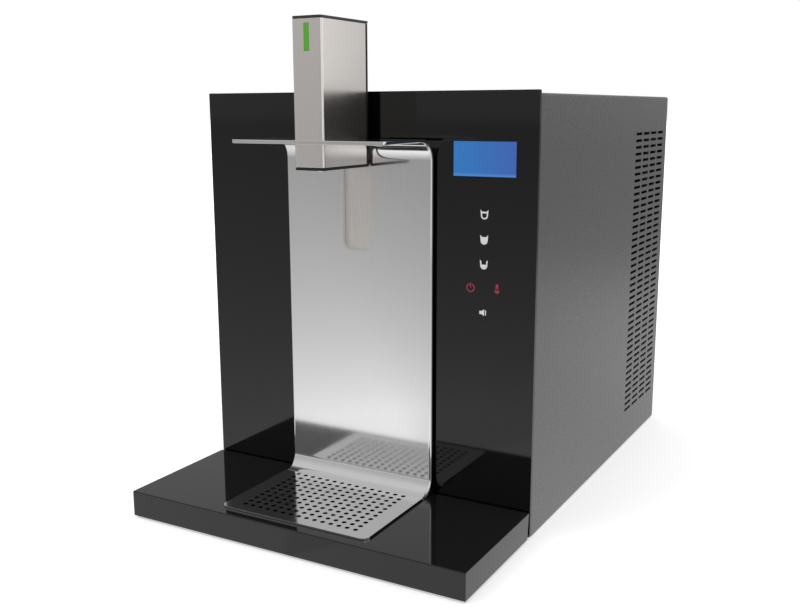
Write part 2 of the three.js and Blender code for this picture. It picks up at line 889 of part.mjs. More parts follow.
function makeSplashSheet() {
  const slot = headSlotHalf();
  const profile = sheetEdgeOutline();
  const slotEdges = [-slot - steelSheet, slot].map(
    (x) => prism('x', profile, x, x + steelSheet, bendSteps / 2));
  const wallTop = block(-bodyWidth, bodyWidth, sheetFront, faceY, 0, sheetPlaces().shelfZ);
  const recessRim = prism('y', recessOutline(steelSheet), sheetFront, sheetFront + recessDepth);
  const opening = prism('y', recessOutline(0), faceY - headFront - slotTipGap, faceY + overrun);
  const footPlan = roundedOutline(-sheetHalf, sheetHalf, faceY - shelfReach, faceY,
    [shelfCorner, shelfCorner, 0, 0]);
  const plan = prism('z', footPlan, 0, footReach + panelHeight);
  const slotEdgeLow = block(-slot - steelSheet, slot + steelSheet, sheetFront + steelSheet, faceY, 0,
    footReach + recessFoot - steelSheet);
  const deckRoom = block(-bodyWidth, bodyWidth, baseFront, faceY, 0, deckTop + seat);
  const body = cut(join(makeRolledSheet(), makeHoodCore(), ...slotEdges), slotEdgeLow, deckRoom);
  return cut(join(body, recessRim.intersect(wallTop)), opening).intersect(plan);
}

// Black moulding behind the sheet, with the shutter's channel down its middle
function makeSplashCarrier() {
  const half = sheetHalf - carrierInset;
  const front = sheetFront + steelSheet + seat;
  const rear = faceY - seat;
  const { footY, footZ } = sheetPlaces();
  const outer = footBend + sheetEdge + seat;
  const low = deckTop + seat;
  const angle = Math.asin((footZ - low) / outer);
  const shape = new THREE.Shape();
  shape.moveTo(rear, low);
  shape.lineTo(rear, footReach + carrierTop);
  shape.lineTo(front, footReach + carrierTop);
  shape.lineTo(front, footZ + sheetEdge);
  shape.lineTo(footY + outer, footZ + sheetEdge);
  shape.lineTo(footY + outer, footZ);
  shape.absarc(footY, footZ, outer, 0, -angle, true);
  shape.lineTo(rear, low);
  const plate = prism('x', shape, -half, half);
  const channelFoot = shutterLow() - headTravel - shutterEnd;
  const channelHalf = shutterHalf + shutterPlay;
  const channel = block(-channelHalf, channelHalf, front - overrun, rear + overrun, channelFoot,
    footReach + carrierTop + overrun);
  return cut(plate, channel);
}

// Dispensing head. It is drawn raised; every piece of it slides down together.

function headPlan(inset, front, rear) {
  const corner = Math.max(headCorner - inset, headWall / 2);
  return roundedOutline(-headHalf + inset, headHalf - inset, faceY - front + inset, faceY - rear - inset,
    [corner, corner, headWall / 2, headWall / 2]);
}

function headLow() {
  return footReach + headFoot;
}

function headHigh() {
  return footReach + headTop;
}

function makeHeadShell() {
  const low = headLow() + basePlateThick + seat;
  const high = headHigh() - capThick - seat;
  const rear = headRear + backCoverDepth;
  const outer = prism('z', headPlan(0, headFront, rear), low, high);
  const inside = roundedOutline(-headHalf + headWall, headHalf - headWall, faceY - headFront + headWall,
    faceY - rear + overrun, [headCorner - headWall, headCorner - headWall, 0, 0]);
  const lightSlot = block(-barHalf - seat, barHalf + seat, faceY - headFront - overrun,
    faceY - headFront + headWall + overrun, lightLow() - seat, lightHigh() + seat);
  return cut(outer, prism('z', inside, low - overrun, high + overrun), lightSlot);
}

function lightHigh() {
  return headHigh() - barDrop;
}

function lightLow() {
  return lightHigh() - barLength;
}

function makeHeadCap() {
  const low = headHigh() - capThick;
  const top = prism('z', headPlan(0, headFront, headRear), low, headHigh());
  const plugPlan = headPlan(headWall + seat, headFront, headRear + backCoverDepth);
  return join(top, prism('z', plugPlan, low - capThick, low + seat));
}

function makeHeadBackCover() {
  const low = headLow() + basePlateThick + seat;
  const high = headHigh() - capThick - seat;
  const rear = faceY - headRear;
  const outer = roundedOutline(-headHalf, headHalf, rear - backCoverDepth + seat, rear,
    [0, 0, backCoverCorner, backCoverCorner]);
  const cover = prism('z', outer, low, high);
  const tongues = [-1, 1].map((side) => {
    const x = side * (headHalf - headWall - seat - steelSheet / 2);
    return block(x - steelSheet / 2, x + steelSheet / 2, rear - backCoverDepth - flange / 2,
      rear - backCoverDepth / 2, low + flange, high - flange);
  });
  const half = neckHalf + seat;
  const opening = block(-half, half, rear - backCoverDepth - overrun, rear + overrun,
    headNeckZ() - half, headNeckZ() + half);
  return cut(join(cover, ...tongues), opening);
}

function makeHeadBasePlate() {
  const plate = prism('z', headPlan(0, headFront, headRear), headLow(), headLow() + basePlateThick);
  return cut(plate, bar('z', 0, faceY - nozzlePlace, nozzleRadius + seat, headLow() - overrun,
    headLow() + basePlateThick + overrun, 12));
}

function makeNozzle() {
  const low = headLow() - nozzleDrop;
  const collar = nozzleRadius + nozzleFlange;
  const shelf = headLow() + basePlateThick + seat;
  const stem = nozzleBore + nozzleWall;
  const top = low + nozzleHeight;
  const profile = [[nozzleBore, low], [nozzleRadius - seat, low], [nozzleRadius, low + seat],
    [nozzleRadius, shelf], [collar, shelf], [collar, shelf + nozzleFlange], [stem, shelf + nozzleFlange],
    [stem, top], [nozzleBore, top], [nozzleBore, low]];
  return turned(profile, 12).translate([0, faceY - nozzlePlace, 0]);
}

function makeLightGuide() {
  const front = faceY - headFront;
  return block(-barHalf, barHalf, front + seat / 2, front + headWall + barDepth, lightLow(), lightHigh());
}

function makeHeadBoard() {
  const front = faceY - headFront + headWall + barDepth + seat;
  const half = headHalf - headWall - seat;
  const board = block(-half, half, front, front + boardThick, lightLow() - flange, lightHigh() + seat);
  const chip = block(-half / 3, half / 3, front + boardThick / 2, front + 2 * boardThick,
    lightLow() - flange / 2, lightLow());
  return join(board, chip);
}

function makeHeadNeck() {
  const z = headNeckZ();
  const front = faceY - headRear - backCoverDepth - seat;
  const rear = carriageFront() - seat;
  const beam = block(-neckHalf, neckHalf, front, rear, z - neckHalf, z + neckHalf);
  const half = neckHalf + neckPlateMargin;
  const side = neckHalf + neckPlateSide;
  const frontPlate = block(-half, half, front - neckPlate, front, z - half, z + half + neckPlateRise);
  const rearPlate = block(-side, side, rear - neckPlate, rear, z - half, z + half);
  const bore = bar('y', 0, z, neckBore, front - neckPlate - overrun, rear + overrun);
  return cut(join(beam, frontPlate, rearPlate), bore);
}

function carriageFront() {
  return bulkheadRear + neckPlate + carriageGap;
}

function rodY() {
  return carriageFront() + carriageDepth / 2;
}

function makeCarriage() {
  const z = headNeckZ();
  const front = carriageFront();
  const rear = front + carriageDepth;
  const half = carriageHeight / 2;
  const outline = roundedOutline(-carriageHalf, carriageHalf, z - half, z + half, carriageCorner);
  const body = prism('y', outline, front, rear, 1);
  const barb = bar('z', 0, rear + barbReach, tubeRadius + barbWall, z - half - barbDrop, z);
  const arm = block(-carriageArm, carriageArm, rear - carriageDepth / 2, rear + 2 * barbReach,
    z - neckHalf, z + neckHalf);
  const bores = [-1, 1].map((side) => bar('z', rodPlace(side), rodY(), rodRadius + running,
    z - carriageHeight, z + carriageHeight, rodSides));
  const passage = bar('y', 0, z, neckBore, front - overrun, front + carriageDepth / 2);
  return cut(join(body, barb, arm), ...bores, passage);
}

function rodLow() {
  return headNeckZ() - carriageHeight / 2 - headTravel - rodMargin;
}

function rodHigh() {
  return headNeckZ() + carriageHeight / 2 + rodMargin;
}

function rodPlace(side) {
  return (side * rodSpacing) / 2;
}

function makeGuideRod(side) {
  return bar('z', rodPlace(side), rodY(), rodRadius, rodLow(), rodHigh(), rodSides);
}

// One folded frame holds both ends of both rods; the neck travels in its window
function makeRodBracket() {
  const half = carriageHalf + bracketMargin;
  const armHalfWidth = rodSpacing / 2 + rodRadius + bracketWall;
  const front = bulkheadRear + seat;
  const rear = rodY() + rodRadius + bracketWall;
  const low = rodLow() + rodEnd;
  const high = rodHigh() - rodEnd;
  const plate = block(-half, half, front, front + bracketFoot, low - bracketWall, high + bracketWall);
  const arms = [low, high - bracketHeight].map((z) => block(-armHalfWidth, armHalfWidth, front, rear, z,
    z + bracketHeight));
  const windowHalf = neckHalf + neckPlateSide + bracketWall / 2;
  const window = block(-windowHalf, windowHalf, front - overrun, front + bracketFoot, low + bracketHeight,
    high - bracketHeight);
  const bores = [-1, 1].map((side) => bar('z', rodPlace(side), rodY(), rodRadius + running,
    rodLow() - overrun, rodHigh() + overrun, rodSides));
  return cut(join(plate, ...arms), window, ...bores);
}

function shutterLow() {
  return footReach + recessFoot - shutterLap;
}

function makeSlotShutter() {
  const low = shutterLow();
  const high = headNeckZ() + neckHalf + shutterEnd;
  const rear = faceY - seat;
  const plate = block(-shutterHalf, shutterHalf, rear - shutterThick, rear, low, high);
  const half = neckHalf + seat;
  return cut(plate, block(-half, half, rear - overrun, rear + overrun, headNeckZ() - half,
    headNeckZ() + half));
}

function makeHeadTube() {
  const z = headNeckZ();
  const rear = carriageFront() + carriageDepth / 2 - 2 * seat;
  const front = faceY - nozzlePlace;
  const foot = headLow() - nozzleDrop + nozzleHeight + seat;
  return tube([[0, rear, z], [0, faceY - headRear - backCoverDepth - tubeRun, z],
    [0, front + 2 * tubeBend, z + tubeRise], [0, front + tubeBend, foot + tubeBend],
    [0, front, foot + tubeBend / 2], [0, front, foot]], tubeRadius, 16);
}

// Boards and electrical pieces

// Components that stand on a board: left, foot, width, height and depth as shares
function componentsOn(x0, x1, z0, z1, face, way, deepest, shares) {
  return shares.map(([left, low, wide, high, deep]) => {
    const buried = face - (way * boardThick) / 2;
    const end = face + way * deepest * deep;
    return block(x0 + (x1 - x0) * left, x0 + (x1 - x0) * (left + wide), Math.min(buried, end),
      Math.max(buried, end), z0 + (z1 - z0) * low, z0 + (z1 - z0) * (low + high));
  });
}

function makeLcdModule() {
  const z = footReach + displayZ;
  const metalRear = caseFront + displayMetalDepth;
  const can = displayOpening(displayMetalMargin, caseFront, metalRear);
  const board = displayOpening(displayBoardMargin, metalRear, metalRear + boardThick);
  const wide = (displayWide + displayBoardMargin) / 2;
  const high = (displayHigh + displayBoardMargin) / 2;
  const studs = [[-wide, -high], [wide, -high], [wide, high], [-wide, high]].map(([a, b]) => bar('y',
    displayX + a, z + b, standoffRadius, bulkheadRear + seat, metalRear + boardThick / 2, 6));
  return join(can, board, ...studs);
}

function makeTouchBoard() {
  const rear = caseFront + boardThick;
  const x0 = displayX - touchBoardHalf;
  const x1 = displayX + touchBoardHalf;
  const z0 = footReach + touchBoardFoot;
  const z1 = footReach + touchBoardTop;
  const board = block(x0, x1, caseFront, rear, z0, z1);
  return join(board, ...componentsOn(x0, x1, z0, z1, rear, 1, touchComponentDepth, touchComponentShares));
}

function makeControlBoard() {
  const front = bulkheadRear + boardStandoff;
  const rear = front + boardThick;
  const wide = controlBoardRight - controlBoardLeft;
  const high = controlBoardTop - controlBoardFoot;
  const board = block(controlBoardLeft, controlBoardRight, front, rear, controlBoardFoot, controlBoardTop);
  const capacitors = capacitorPlaceShares.map(([a, b]) => bar('y', controlBoardLeft + a * wide,
    controlBoardFoot + b * high, capacitorRadius, front + boardThick / 2, rear + capacitorHeight));
  return join(board, ...capacitors, ...componentsOn(controlBoardLeft, controlBoardRight, controlBoardFoot,
    controlBoardTop, rear, 1, controlComponentDepth, controlComponentShares));
}

// An open frame on the rear panel, with its board standing off the frame's back
function makePowerSupply() {
  const rear = rearPanelFront - seat;
  const tray = cut(block(supplyLeft, supplyRight, rear - supplyDepth, rear, supplyFoot, supplyTop),
    block(supplyLeft - overrun, supplyRight + overrun, rear - supplyDepth - overrun, rear - steelSheet,
      supplyFoot + steelSheet, supplyTop - steelSheet));
  const x0 = supplyLeft + supplyBoardInset;
  const x1 = supplyRight - supplyBoardInset;
  const boardRear = rear - supplyBoardGap;
  const face = boardRear - boardThick;
  const board = block(x0, x1, face, boardRear, supplyFoot + steelSheet / 2, supplyTop - steelSheet / 2);
  return join(tray, board, ...componentsOn(x0, x1, supplyFoot, supplyTop, face, -1, supplyComponentDepth,
    supplyComponentShares));
}

function rockerAxisY() {
  return rearY - rockerAxisDepth;
}

// Three flat pins in a socket with two slanted corners, and beside it the cavity of the rocker
function makeMainsInlet() {
  const left = inletX - inletWide / 2;
  const right = switchX + switchWide / 2;
  const low = inletZ - inletHigh / 2;
  const high = inletZ + inletHigh / 2;
  const inner = rearY - inletDepth;
  const face = rearY + seat + rimThick;
  const body = block(left, right, inner, rearY + seat + rimThick / 2, low, high);
  const rimOutline = roundedOutline(left - inletRim, right + inletRim, low - inletRim,
    high + inletRim, inletRim);
  const rim = prism('y', rimOutline, rearY + seat, face, 1);
  const mouth = roundedOutline(left + recessWall, inletX + inletWide / 2 - recessWall, low + recessWall,
    high - recessWall, [0, 0, recessChamfer, recessChamfer]);
  const socket = prism('y', mouth, inner + recessWall, rearY + overrun, 1);
  const pins = [[-pinSpacing, -pinDrop], [0, pinLift], [pinSpacing, -pinDrop]].map(([x, z]) => block(
    inletX + x - pinWide / 2, inletX + x + pinWide / 2, inner + recessWall / 2, rearY - pinReach,
    inletZ + z - pinHigh / 2, inletZ + z + pinHigh / 2));
  const reach = rockerRadius + seat;
  const cavity = block(switchX - rockerHalf - seat, switchX + rockerHalf + seat, rockerAxisY() - reach,
    rearY + overrun, inletZ - reach, inletZ + reach);
  const pinHalf = rockerHalf + rockerPinLength + seat;
  const pivots = bar('x', rockerAxisY(), inletZ, rockerPin + running, switchX - pinHalf, switchX + pinHalf);
  return join(cut(join(body, rim), socket, cavity, pivots), ...pins);
}

// Rests tipped one way and rocks to the other on two short pins
function makeSwitchRocker() {
  const shares = [[0.7, 0.68], [0.58, 0], [0.7, -0.68], [0.46, -0.84], [-0.2, -0.36], [-0.46, -0.2],
    [-0.46, 0.2], [-0.2, 0.36], [0.46, 0.84]];
  const outline = outlineOf(shares.map(([y, z]) => [y * rockerRadius, z * rockerRadius]));
  const pinHalf = rockerHalf + rockerPinLength;
  const pin = bar('x', 0, 0, rockerPin, -pinHalf, pinHalf);
  const body = join(prism('x', outline, -rockerHalf, rockerHalf), pin);
  return body.rotate([rockerTilt, 0, 0]).translate([switchX, rockerAxisY(), inletZ]);
}

// Water connections

function makeWaterInletFitting() {
  const collar = fittingBody + fittingCollar;
  const collet = tubeBore + colletWall;
  const inner = rearPanelFront - fittingInner;
  const mouth = rearY + fittingReach;
  const neck = mouth - colletReach;
  const nut = rearPanelFront - seat - fittingNut;
  const rear = rearY + seat;
  const boreFoot = rearPanelFront - fittingNut;
  const nutRear = rearPanelFront - seat;
  const profile = [[0, inner], [fittingSpigot, inner], [fittingSpigot, nut], [collar, nut],
    [collar, nutRear], [fittingBody, nutRear], [fittingBody, rear], [collar, rear], [collar, neck],
    [collet, neck], [collet, mouth], [tubeBore, mouth], [tubeBore, boreFoot], [0, boreFoot]];
  return alongRear(turned(profile, 12)).translate([fittingX, 0, fittingZ]);
}

function makeDrainPlug() {
  const inner = rearPanelFront - drainLength;
  const rear = rearY + seat;
  const cap = drainBody + drainCap;
  const end = rear + drainCapHeight;
  const profile = [[0, inner], [drainBody, inner], [drainBody, rear], [cap, rear], [cap, end], [0, end]];
  return alongRear(turned(profile, 10)).translate([drainX, 0, drainZ]);
}

// Cold tank

const tankFront = faceY + tankGap;
const tankRear = tankFront + tankDeep;
const tankFoot = floorTop + seat;
const vesselFoot = tankFoot + tankWall + seat;
const vesselTop = tankHigh - lidPlug;
const lidFoot = tankHigh + seat;
const lidTop = lidFoot + lidPlate;
const tankMiddle = [(tankLeft + tankRight) / 2, (tankFront + tankRear) / 2];

function tankOutline(inset, corner) {
  return roundedOutline(tankLeft + inset, tankRight - inset, tankFront + inset, tankRear - inset, corner);
}

function makeTankInsulation() {
  const outer = prism('z', tankOutline(0, tankCorner), tankFoot, tankHigh, 1);
  return cut(outer, prism('z', tankOutline(tankWall, vesselCorner), tankFoot + tankWall, tankHigh + overrun));
}

function makeColdTank() {
  const gap = tankWall + seat;
  const inner = gap + vesselWall;
  const outer = prism('z', tankOutline(gap, vesselCorner - seat), vesselFoot, vesselTop);
  return cut(outer, prism('z', tankOutline(inner, vesselCorner - seat - vesselWall), vesselFoot + vesselWall,
    vesselTop + overrun));
}

const drierEnds = [[drierX, faceY + drierY, drierZ], [drierX, faceY + drierY, drierZ + drierLength]];

// The two ends of the coil stand up through the lid: one from the core and one from the last turn
function coilEnds() {
  const [x, y] = tankMiddle;
  const top = lidTop + coilLead;
  return { core: [x - coilCore, y, top], rim: [x + coilRadius, y, top] };
}

// The coil ends in the thin tube that feeds it from the drier
function makeEvaporatorCoil() {
  const [x, y] = tankMiddle;
  const { core, rim } = coilEnds();
  const foot = vesselFoot + coilFoot;
  const turnSteps = 8;
  const places = [core, [core[0], y, foot + 2 * coilPitch], [core[0], y, foot + coilPitch],
    [x - coilCore / 2, y, foot + coilPitch / 4]];
  for (let step = 0; step <= coilTurns * turnSteps; step += 1) {
    const angle = (step / turnSteps) * Math.PI * 2;
    places.push([x + coilRadius * Math.cos(angle), y + coilRadius * Math.sin(angle),
      foot + (coilPitch * step) / turnSteps]);
  }
  places.push([rim[0], y, vesselTop - 2 * coilLead], [rim[0], y, vesselTop], rim);
  const buried = moved(core, up, -coilLead / 2);
  const feed = route(drierEnds[1], up, buried, up, coilLead, [[0.15, 0.2, 1.2], [0.8, 0.8, 1.25]]);
  return join(tube(places, lineRadius, 56, 4), tube(feed, capillaryRadius, 16, 4));
}

function makeTankLid() {
  const plate = prism('z', tankOutline(0, tankCorner), lidFoot, lidTop, 1);
  const plugOutline = tankOutline(tankWall + seat, vesselCorner);
  const plug = prism('z', plugOutline, vesselTop + seat, lidFoot + lidPlate / 2, 1);
  const holes = Object.values(coilEnds()).map(([x, y]) => bar('z', x, y, lineRadius + 2 * seat,
    vesselTop, lidTop + overrun));
  return cut(join(plate, plug), ...holes);
}

// Refrigeration

const compressorY = rearPanelFront - compressorGap - canRadius;
const compressorFoot = floorTop + compressorLift;
const canTop = compressorFoot + canHeight + canPortHeight;

function canPort(side) {
  return [compressorX + side * canPortSpread, compressorY, canTop];
}

function grommetPlaces() {
  const x = legWide / 2 - grommetInset;
  const y = legDeep / 2 - grommetInset;
  return [[-x, -y], [x, -y], [x, y], [-x, y]].map(([a, b]) => [compressorX + a, compressorY + b]);
}

// A welded oval can with its gas ports on top and its relay cover at the side, on four rubber-footed legs
function makeCompressor() {
  const profile = canShares.map(([radius, height]) => (
    [radius * canRadius, compressorFoot + height * canHeight]));
  const seam = compressorFoot + canHeight * seamShare;
  const rim = bar('z', 0, 0, canRadius + seamWidth, seam, seam + seamHeight, 12);
  const round = join(turned(profile, 12), rim);
  const can = round.scale([canStretch, 1, 1]).translate([compressorX, compressorY, 0]);
  const legs = block(compressorX - legWide / 2, compressorX + legWide / 2, compressorY - legDeep / 2,
    compressorY + legDeep / 2, compressorFoot, compressorFoot + legThick);
  const feet = grommetPlaces().map(([x, y]) => bar('z', x, y, grommetRadius, floorTop + seat,
    compressorFoot + legThick / 2));
  const ports = [-1, 1].map((side) => bar('z', canPort(side)[0], compressorY, lineRadius + canPortWall,
    compressorFoot + canHeight / 2, canTop, 6));
  const side = compressorX + canRadius * canStretch;
  const relayFoot = compressorFoot + canHeight * seamShare - relayHigh - seat;
  const relay = block(side - relayWide / 2, side + relayWide, compressorY - relayDeep / 2,
    compressorY + relayDeep / 2, relayFoot, relayFoot + relayHigh);
  return join(can, legs, ...feet, ...ports, relay);
}

// The condenser stands behind the louvres of the right side, between them and its fan
const condenserRight = bodyWidth / 2 - steelSheet - condenserGap;
const condenserLeft = condenserRight - condenserThick;
const condenserFront = louvreFront - condenserMargin;
const condenserRear = louvreRear + condenserMargin;
const condenserFoot = floorTop + condenserLift;
const condenserTop = louvreTop + slotHeight;
const fanY = (condenserFront + condenserRear) / 2;
const shroudRear = condenserLeft - seat;
const collarFace = shroudRear - shroudCollar;
const collarRadius = fanRadius + 1.5 * shroudThick;
const fanX = shroudRear - shroudCollar / 2;

// Upright fins on both sides of the tube core
function makeCondenserCore() {
  const middle = (condenserLeft + condenserRight) / 2;
  const half = coreThick / 2;
  const pitch = (condenserRear - condenserFront - finThick) / (fins - 1);
  const near = [];
  const far = [];
  for (let fin = 0; fin < fins; fin += 1) {
    const y = condenserFront + fin * pitch;
    const end = y + finThick;
    near.push([middle + half, y], [condenserRight, y], [condenserRight, end], [middle + half, end]);
    far.unshift([middle - half, end], [condenserLeft, end], [condenserLeft, y], [middle - half, y]);
  }
  const outline = outlineOf([...near, ...far].filter(([x], place) => place > 0 || x !== middle + half));
  return prism('z', outline, condenserFoot, condenserTop);
}

function makeFanShroud() {
  const plate = block(shroudRear - shroudThick, shroudRear, condenserFront, condenserRear, floorTop + seat,
    condenserTop);
  const collar = bar('x', fanY, fanZ, collarRadius, collarFace, shroudRear - shroudThick / 2, 16);
  const opening = bar('x', fanY, fanZ, fanRadius, collarFace - overrun, shroudRear + overrun, 16);
  return cut(join(plate, collar), opening);
}

// The motor hangs in front of the fan on four arms that reach the shroud's collar
function makeFanMotor() {
  const armFace = collarFace - seat;
  const motorFace = armFace - armThick / 2;
  const body = bar('x', fanY, fanZ, motorRadius, motorFace - motorLength, motorFace, 12);
  const shaft = bar('x', fanY, fanZ, shaftRadius, motorFace - overrun, fanX + motorGap);
  const arm = block(armFace - armThick, armFace, -armHalf, armHalf, 0, collarRadius);
  const arms = [45, 135, 225, 315].map((turn) => arm.rotate([turn, 0, 0]).translate([0, fanY, fanZ]));
  return join(body, shaft, ...arms);
}

// Blades: flat sectors, pitched about their own radius and trimmed to the tip circle
function makeFanRotor() {
  const hub = bar('x', 0, 0, hubRadius, -hubDepth / 2, hubDepth / 2, 12);
  const tip = fanRadius - tipGap;
  const root = hubRadius * 0.8;
  const sweep = THREE.MathUtils.degToRad(bladeSweep);
  const skew = THREE.MathUtils.degToRad(bladeSkew);
  const outline = new THREE.Shape();
  outline.moveTo(root * Math.cos(skew * 1.5), root * Math.sin(skew * 1.5));
  outline.absarc(0, 0, tip, skew, sweep + skew, false);
  outline.lineTo(root * Math.cos(sweep), root * Math.sin(sweep));
  const flat = prism('z', outline, -bladeThick / 2, bladeThick / 2);
  const level = flat.rotate([0, 0, -(bladeSweep / 2 + bladeSkew)]);
  const blade = level.rotate([bladePitch, 0, 0]).rotate([0, 90, 0]);
  const copies = [];
  for (let turn = 0; turn < blades; turn += 1) {
    copies.push(blade.rotate([(turn * 360) / blades, 0, 0]));
  }
  const reach = bar('x', 0, 0, tip, -rotorDepth / 2, rotorDepth / 2, 24);
  const bore = bar('x', 0, 0, shaftRadius + seat, -hubDepth, hubDepth);
  return cut(join(join(...copies).intersect(reach), hub), bore).translate([fanX, fanY, fanZ]);
}

// Copper lines: hot gas to the condenser, liquid through the drier to the tank, suction back

function makeFilterDrier() {
  const low = drierEnds[0][2];
  const high = drierEnds[1][2];
  const neck = lineRadius + lineWall;
  const profile = [[0, low], [neck, low], [drierRadius, low + drierTaper], [drierRadius, high - drierTaper],
    [neck, high], [0, high]];
  return turned(profile, 10).translate([drierX, faceY + drierY, 0]);
}

function condenserPort(z) {
  return [(condenserLeft + condenserRight) / 2, condenserFront, z];
}

function makeDischargeLine() {
  const end = condenserPort(condenserTop - condenserPortDrop);
  const places = route(canPort(1), up, end, frontward, coilLead, [[0.08, 0.5, 0.3], [0.6, 1.6, 0.95]]);
  return tube(places, lineRadius, 18, 5);
}

function makeLiquidLine() {
  const start = condenserPort(condenserFoot + condenserPortDrop);
  return tube(route(start, frontward, drierEnds[0], down, coilLead / 2, []), lineRadius, 12, 5);
}

function makeSuctionLine() {
  const places = route(coilEnds().rim, up, canPort(-1), up, coilLead,
    [[0.3, 0.4, -0.2], [0.7, 0.8, -0.1]]);
  return tube(places, lineRadius, 14, 5);
}

// Water side

const pumpMiddle = faceY + pumpY;
const pumpFoot = floorTop + seat;
const pumpAxis = pumpFoot + pumpAxisZ;
const pumpHeadFront = pumpMiddle + pumpMotor / 2;
const pumpHeadRear = pumpHeadFront + pumpHead;
const pumpHeadMiddle = (pumpHeadFront + pumpHeadRear) / 2;
const pumpInlet = [pumpX + pumpPortSpread, pumpHeadRear + pumpInletReach, pumpAxis];
const pumpOutlet = [pumpX - pumpPortSpread, pumpHeadMiddle, pumpAxis + pumpOutletReach];

function makeWaterPump() {
  const motor = bar('y', pumpX, pumpAxis, pumpRadius, pumpMiddle - pumpMotor / 2, pumpHeadFront, 10);
  const half = pumpRadius - pumpStandThick;
  const head = block(pumpX - half, pumpX + half, pumpHeadFront - seat, pumpHeadRear,
    pumpAxis - half, pumpAxis + half);
  const standHalf = pumpMotor / 2 - pumpStandThick;
  const stand = block(pumpX - pumpStandHalf, pumpX + pumpStandHalf, pumpMiddle - standHalf,
    pumpMiddle + standHalf, pumpFoot, pumpFoot + pumpStandThick);
  const saddle = block(pumpX - pumpSaddleHalf, pumpX + pumpSaddleHalf, pumpMiddle - standHalf / 2,
    pumpMiddle + standHalf / 2, pumpFoot + pumpStandThick / 2, pumpAxis);
  const outlet = bar('z', pumpOutlet[0], pumpOutlet[1], hoseRadius, pumpAxis, pumpOutlet[2]);
  const inlet = bar('y', pumpInlet[0], pumpInlet[2], hoseRadius, pumpHeadMiddle, pumpInlet[1]);
  return join(motor, head, stand, saddle, outlet, inlet);
}

// Electric valve on the inner end of the inlet fitting, standing on the floor
const inletValveRear = rearPanelFront - fittingInner - seat;
const inletValveFront = inletValveRear - valveLength;
const inletValvePort = [fittingX, inletValveFront - valvePort, fittingZ];

function makeInletValve() {
  const middle = (inletValveFront + inletValveRear) / 2;
  const body = block(fittingX - valveHalf, fittingX + valveHalf, inletValveFront, inletValveRear,
    fittingZ - valveHalf, fittingZ + valveHalf);
  const coil = bar('z', fittingX, middle, valveCoil, fittingZ, fittingZ + valveHalf + valveCoilHeight, 10);
  const post = block(fittingX - valveHalf / 2, fittingX + valveHalf / 2, middle - valveHalf / 2,
    middle + valveHalf / 2, floorTop + seat, fittingZ);
  const foot = block(fittingX - valveFootHalf, fittingX + valveFootHalf, middle - valveFootHalf,
    middle + valveFootHalf, floorTop + seat, floorTop + seat + valveFootThick);
  const port = bar('y', fittingX, fittingZ, hoseRadius, inletValvePort[1], middle);
  return join(body, coil, post, foot, port);
}

// Twin valve on the rear of the inner front
const pourValveFront = bulkheadRear + seat;
const pourValveTop = footReach + pourValveZ + pourValveHigh / 2;
const pourPorts = [pourPortInset, pourValveWide - pourPortInset].map((inset) => [pourValveX + inset,
  pourValveFront + pourValveDeep / 2, pourValveTop + valvePort]);

function makeDispenseValve() {
  const foot = pourValveTop - pourValveHigh;
  const body = block(pourValveX, pourValveX + pourValveWide, pourValveFront, pourValveFront + pourValveDeep,
    foot, pourValveTop);
  const middle = pourValveTop - pourValveHigh / 2;
  const coils = pourPorts.map(([x, y]) => bar('z', x, y, valveCoil - lineWall, foot - valveCoilHeight,
    middle, 10));
  const ports = pourPorts.map(([x, y, top]) => bar('z', x, y, hoseRadius, middle, top));
  return join(body, ...coils, ...ports);
}

function makePumpHose() {
  const places = route(inletValvePort, frontward, pumpInlet, rearward, 2 * hoseRadius,
    [[0.2, 0.4, 0.5], [0.8, 0.7, 0.9]]);
  return tube(places, hoseRadius, 14, 6);
}

function makeTankHose() {
  const end = [tankRight - 2 * tankWall, tankFront + 2 * tankWall, lidTop];
  const places = route(pumpOutlet, up, end, up, 2 * hoseRadius,
    [[0.1, 0.1, 0.6], [0.35, 0.4, 1.12], [0.8, 0.9, 1.14]]);
  return tube(places, hoseRadius, 18, 6);
}

function makeChilledHose() {
  const start = [tankRight - 3 * tankWall, tankFront + 1.5 * tankWall, lidTop];
  const places = route(start, up, pourPorts[1], up, 2 * hoseRadius,
    [[0.3, 0.25, -0.45], [0.85, 0.8, -0.2], [1, 1, 0.4]]);
  return tube(places, hoseRadius, 18, 6);
}

// Soft tube from the valve to the carriage: it folds as the head comes down
function makeHeadHose() {
  const top = headNeckZ() - carriageHeight / 2 - barbDrop;
  const end = [0, carriageFront() + carriageDepth + barbReach, top];
  return tube(route(pourPorts[0], up, end, down, 2 * hoseRadius, [[0.3, 0.5, 0.4], [0.85, 1, 0.7]]),
    tubeRadius + lineWall, 16, 6);
}

add('chassis_tray', shapeOf(makeChassisTray()), 0xa9adb0, 0.45, 0.9);
add('case_shell', shapeOf(makeCaseShell()), 0x6b6b6b, 0.35, 0.6);
add('front_panel', shapeOf(makeFrontPanel()), 0x141414, 0.08, 0.0);
add('display_window', shapeOf(makeDisplayWindow()), 0x2f77c0, 0.1, 0.0);
add('front_bulkhead', shapeOf(makeFrontBulkhead()), 0xa9adb0, 0.45, 0.9);
add('rear_panel', shapeOf(makeRearPanel()), 0x2a2a2a, 0.5, 0.4);
for (const [name, place] of Object.entries(footPlaces)) {
  add(name, shapeOf(makeFoot(place)), 0x1a1a1a, 0.9, 0.0);
}
add('dock_bracket', shapeOf(makeDockBracket()), 0x9a9da0, 0.45, 0.9);
add('base_housing', shapeOf(makeBaseHousing()), 0x161616, 0.1, 0.0);
add('base_floor', shapeOf(makeBaseFloor()), 0x2a2a2a, 0.5, 0.4);
add('drip_pan', shapeOf(makeDripPan()), 0x1c1c1c, 0.5, 0.0);
add('drip_grille', shapeOf(makeDripGrille()), 0xb9b9b7, 0.2, 1.0);
add('splash_sheet', shapeOf(makeSplashSheet()), 0xbdbdbb, 0.2, 1.0);
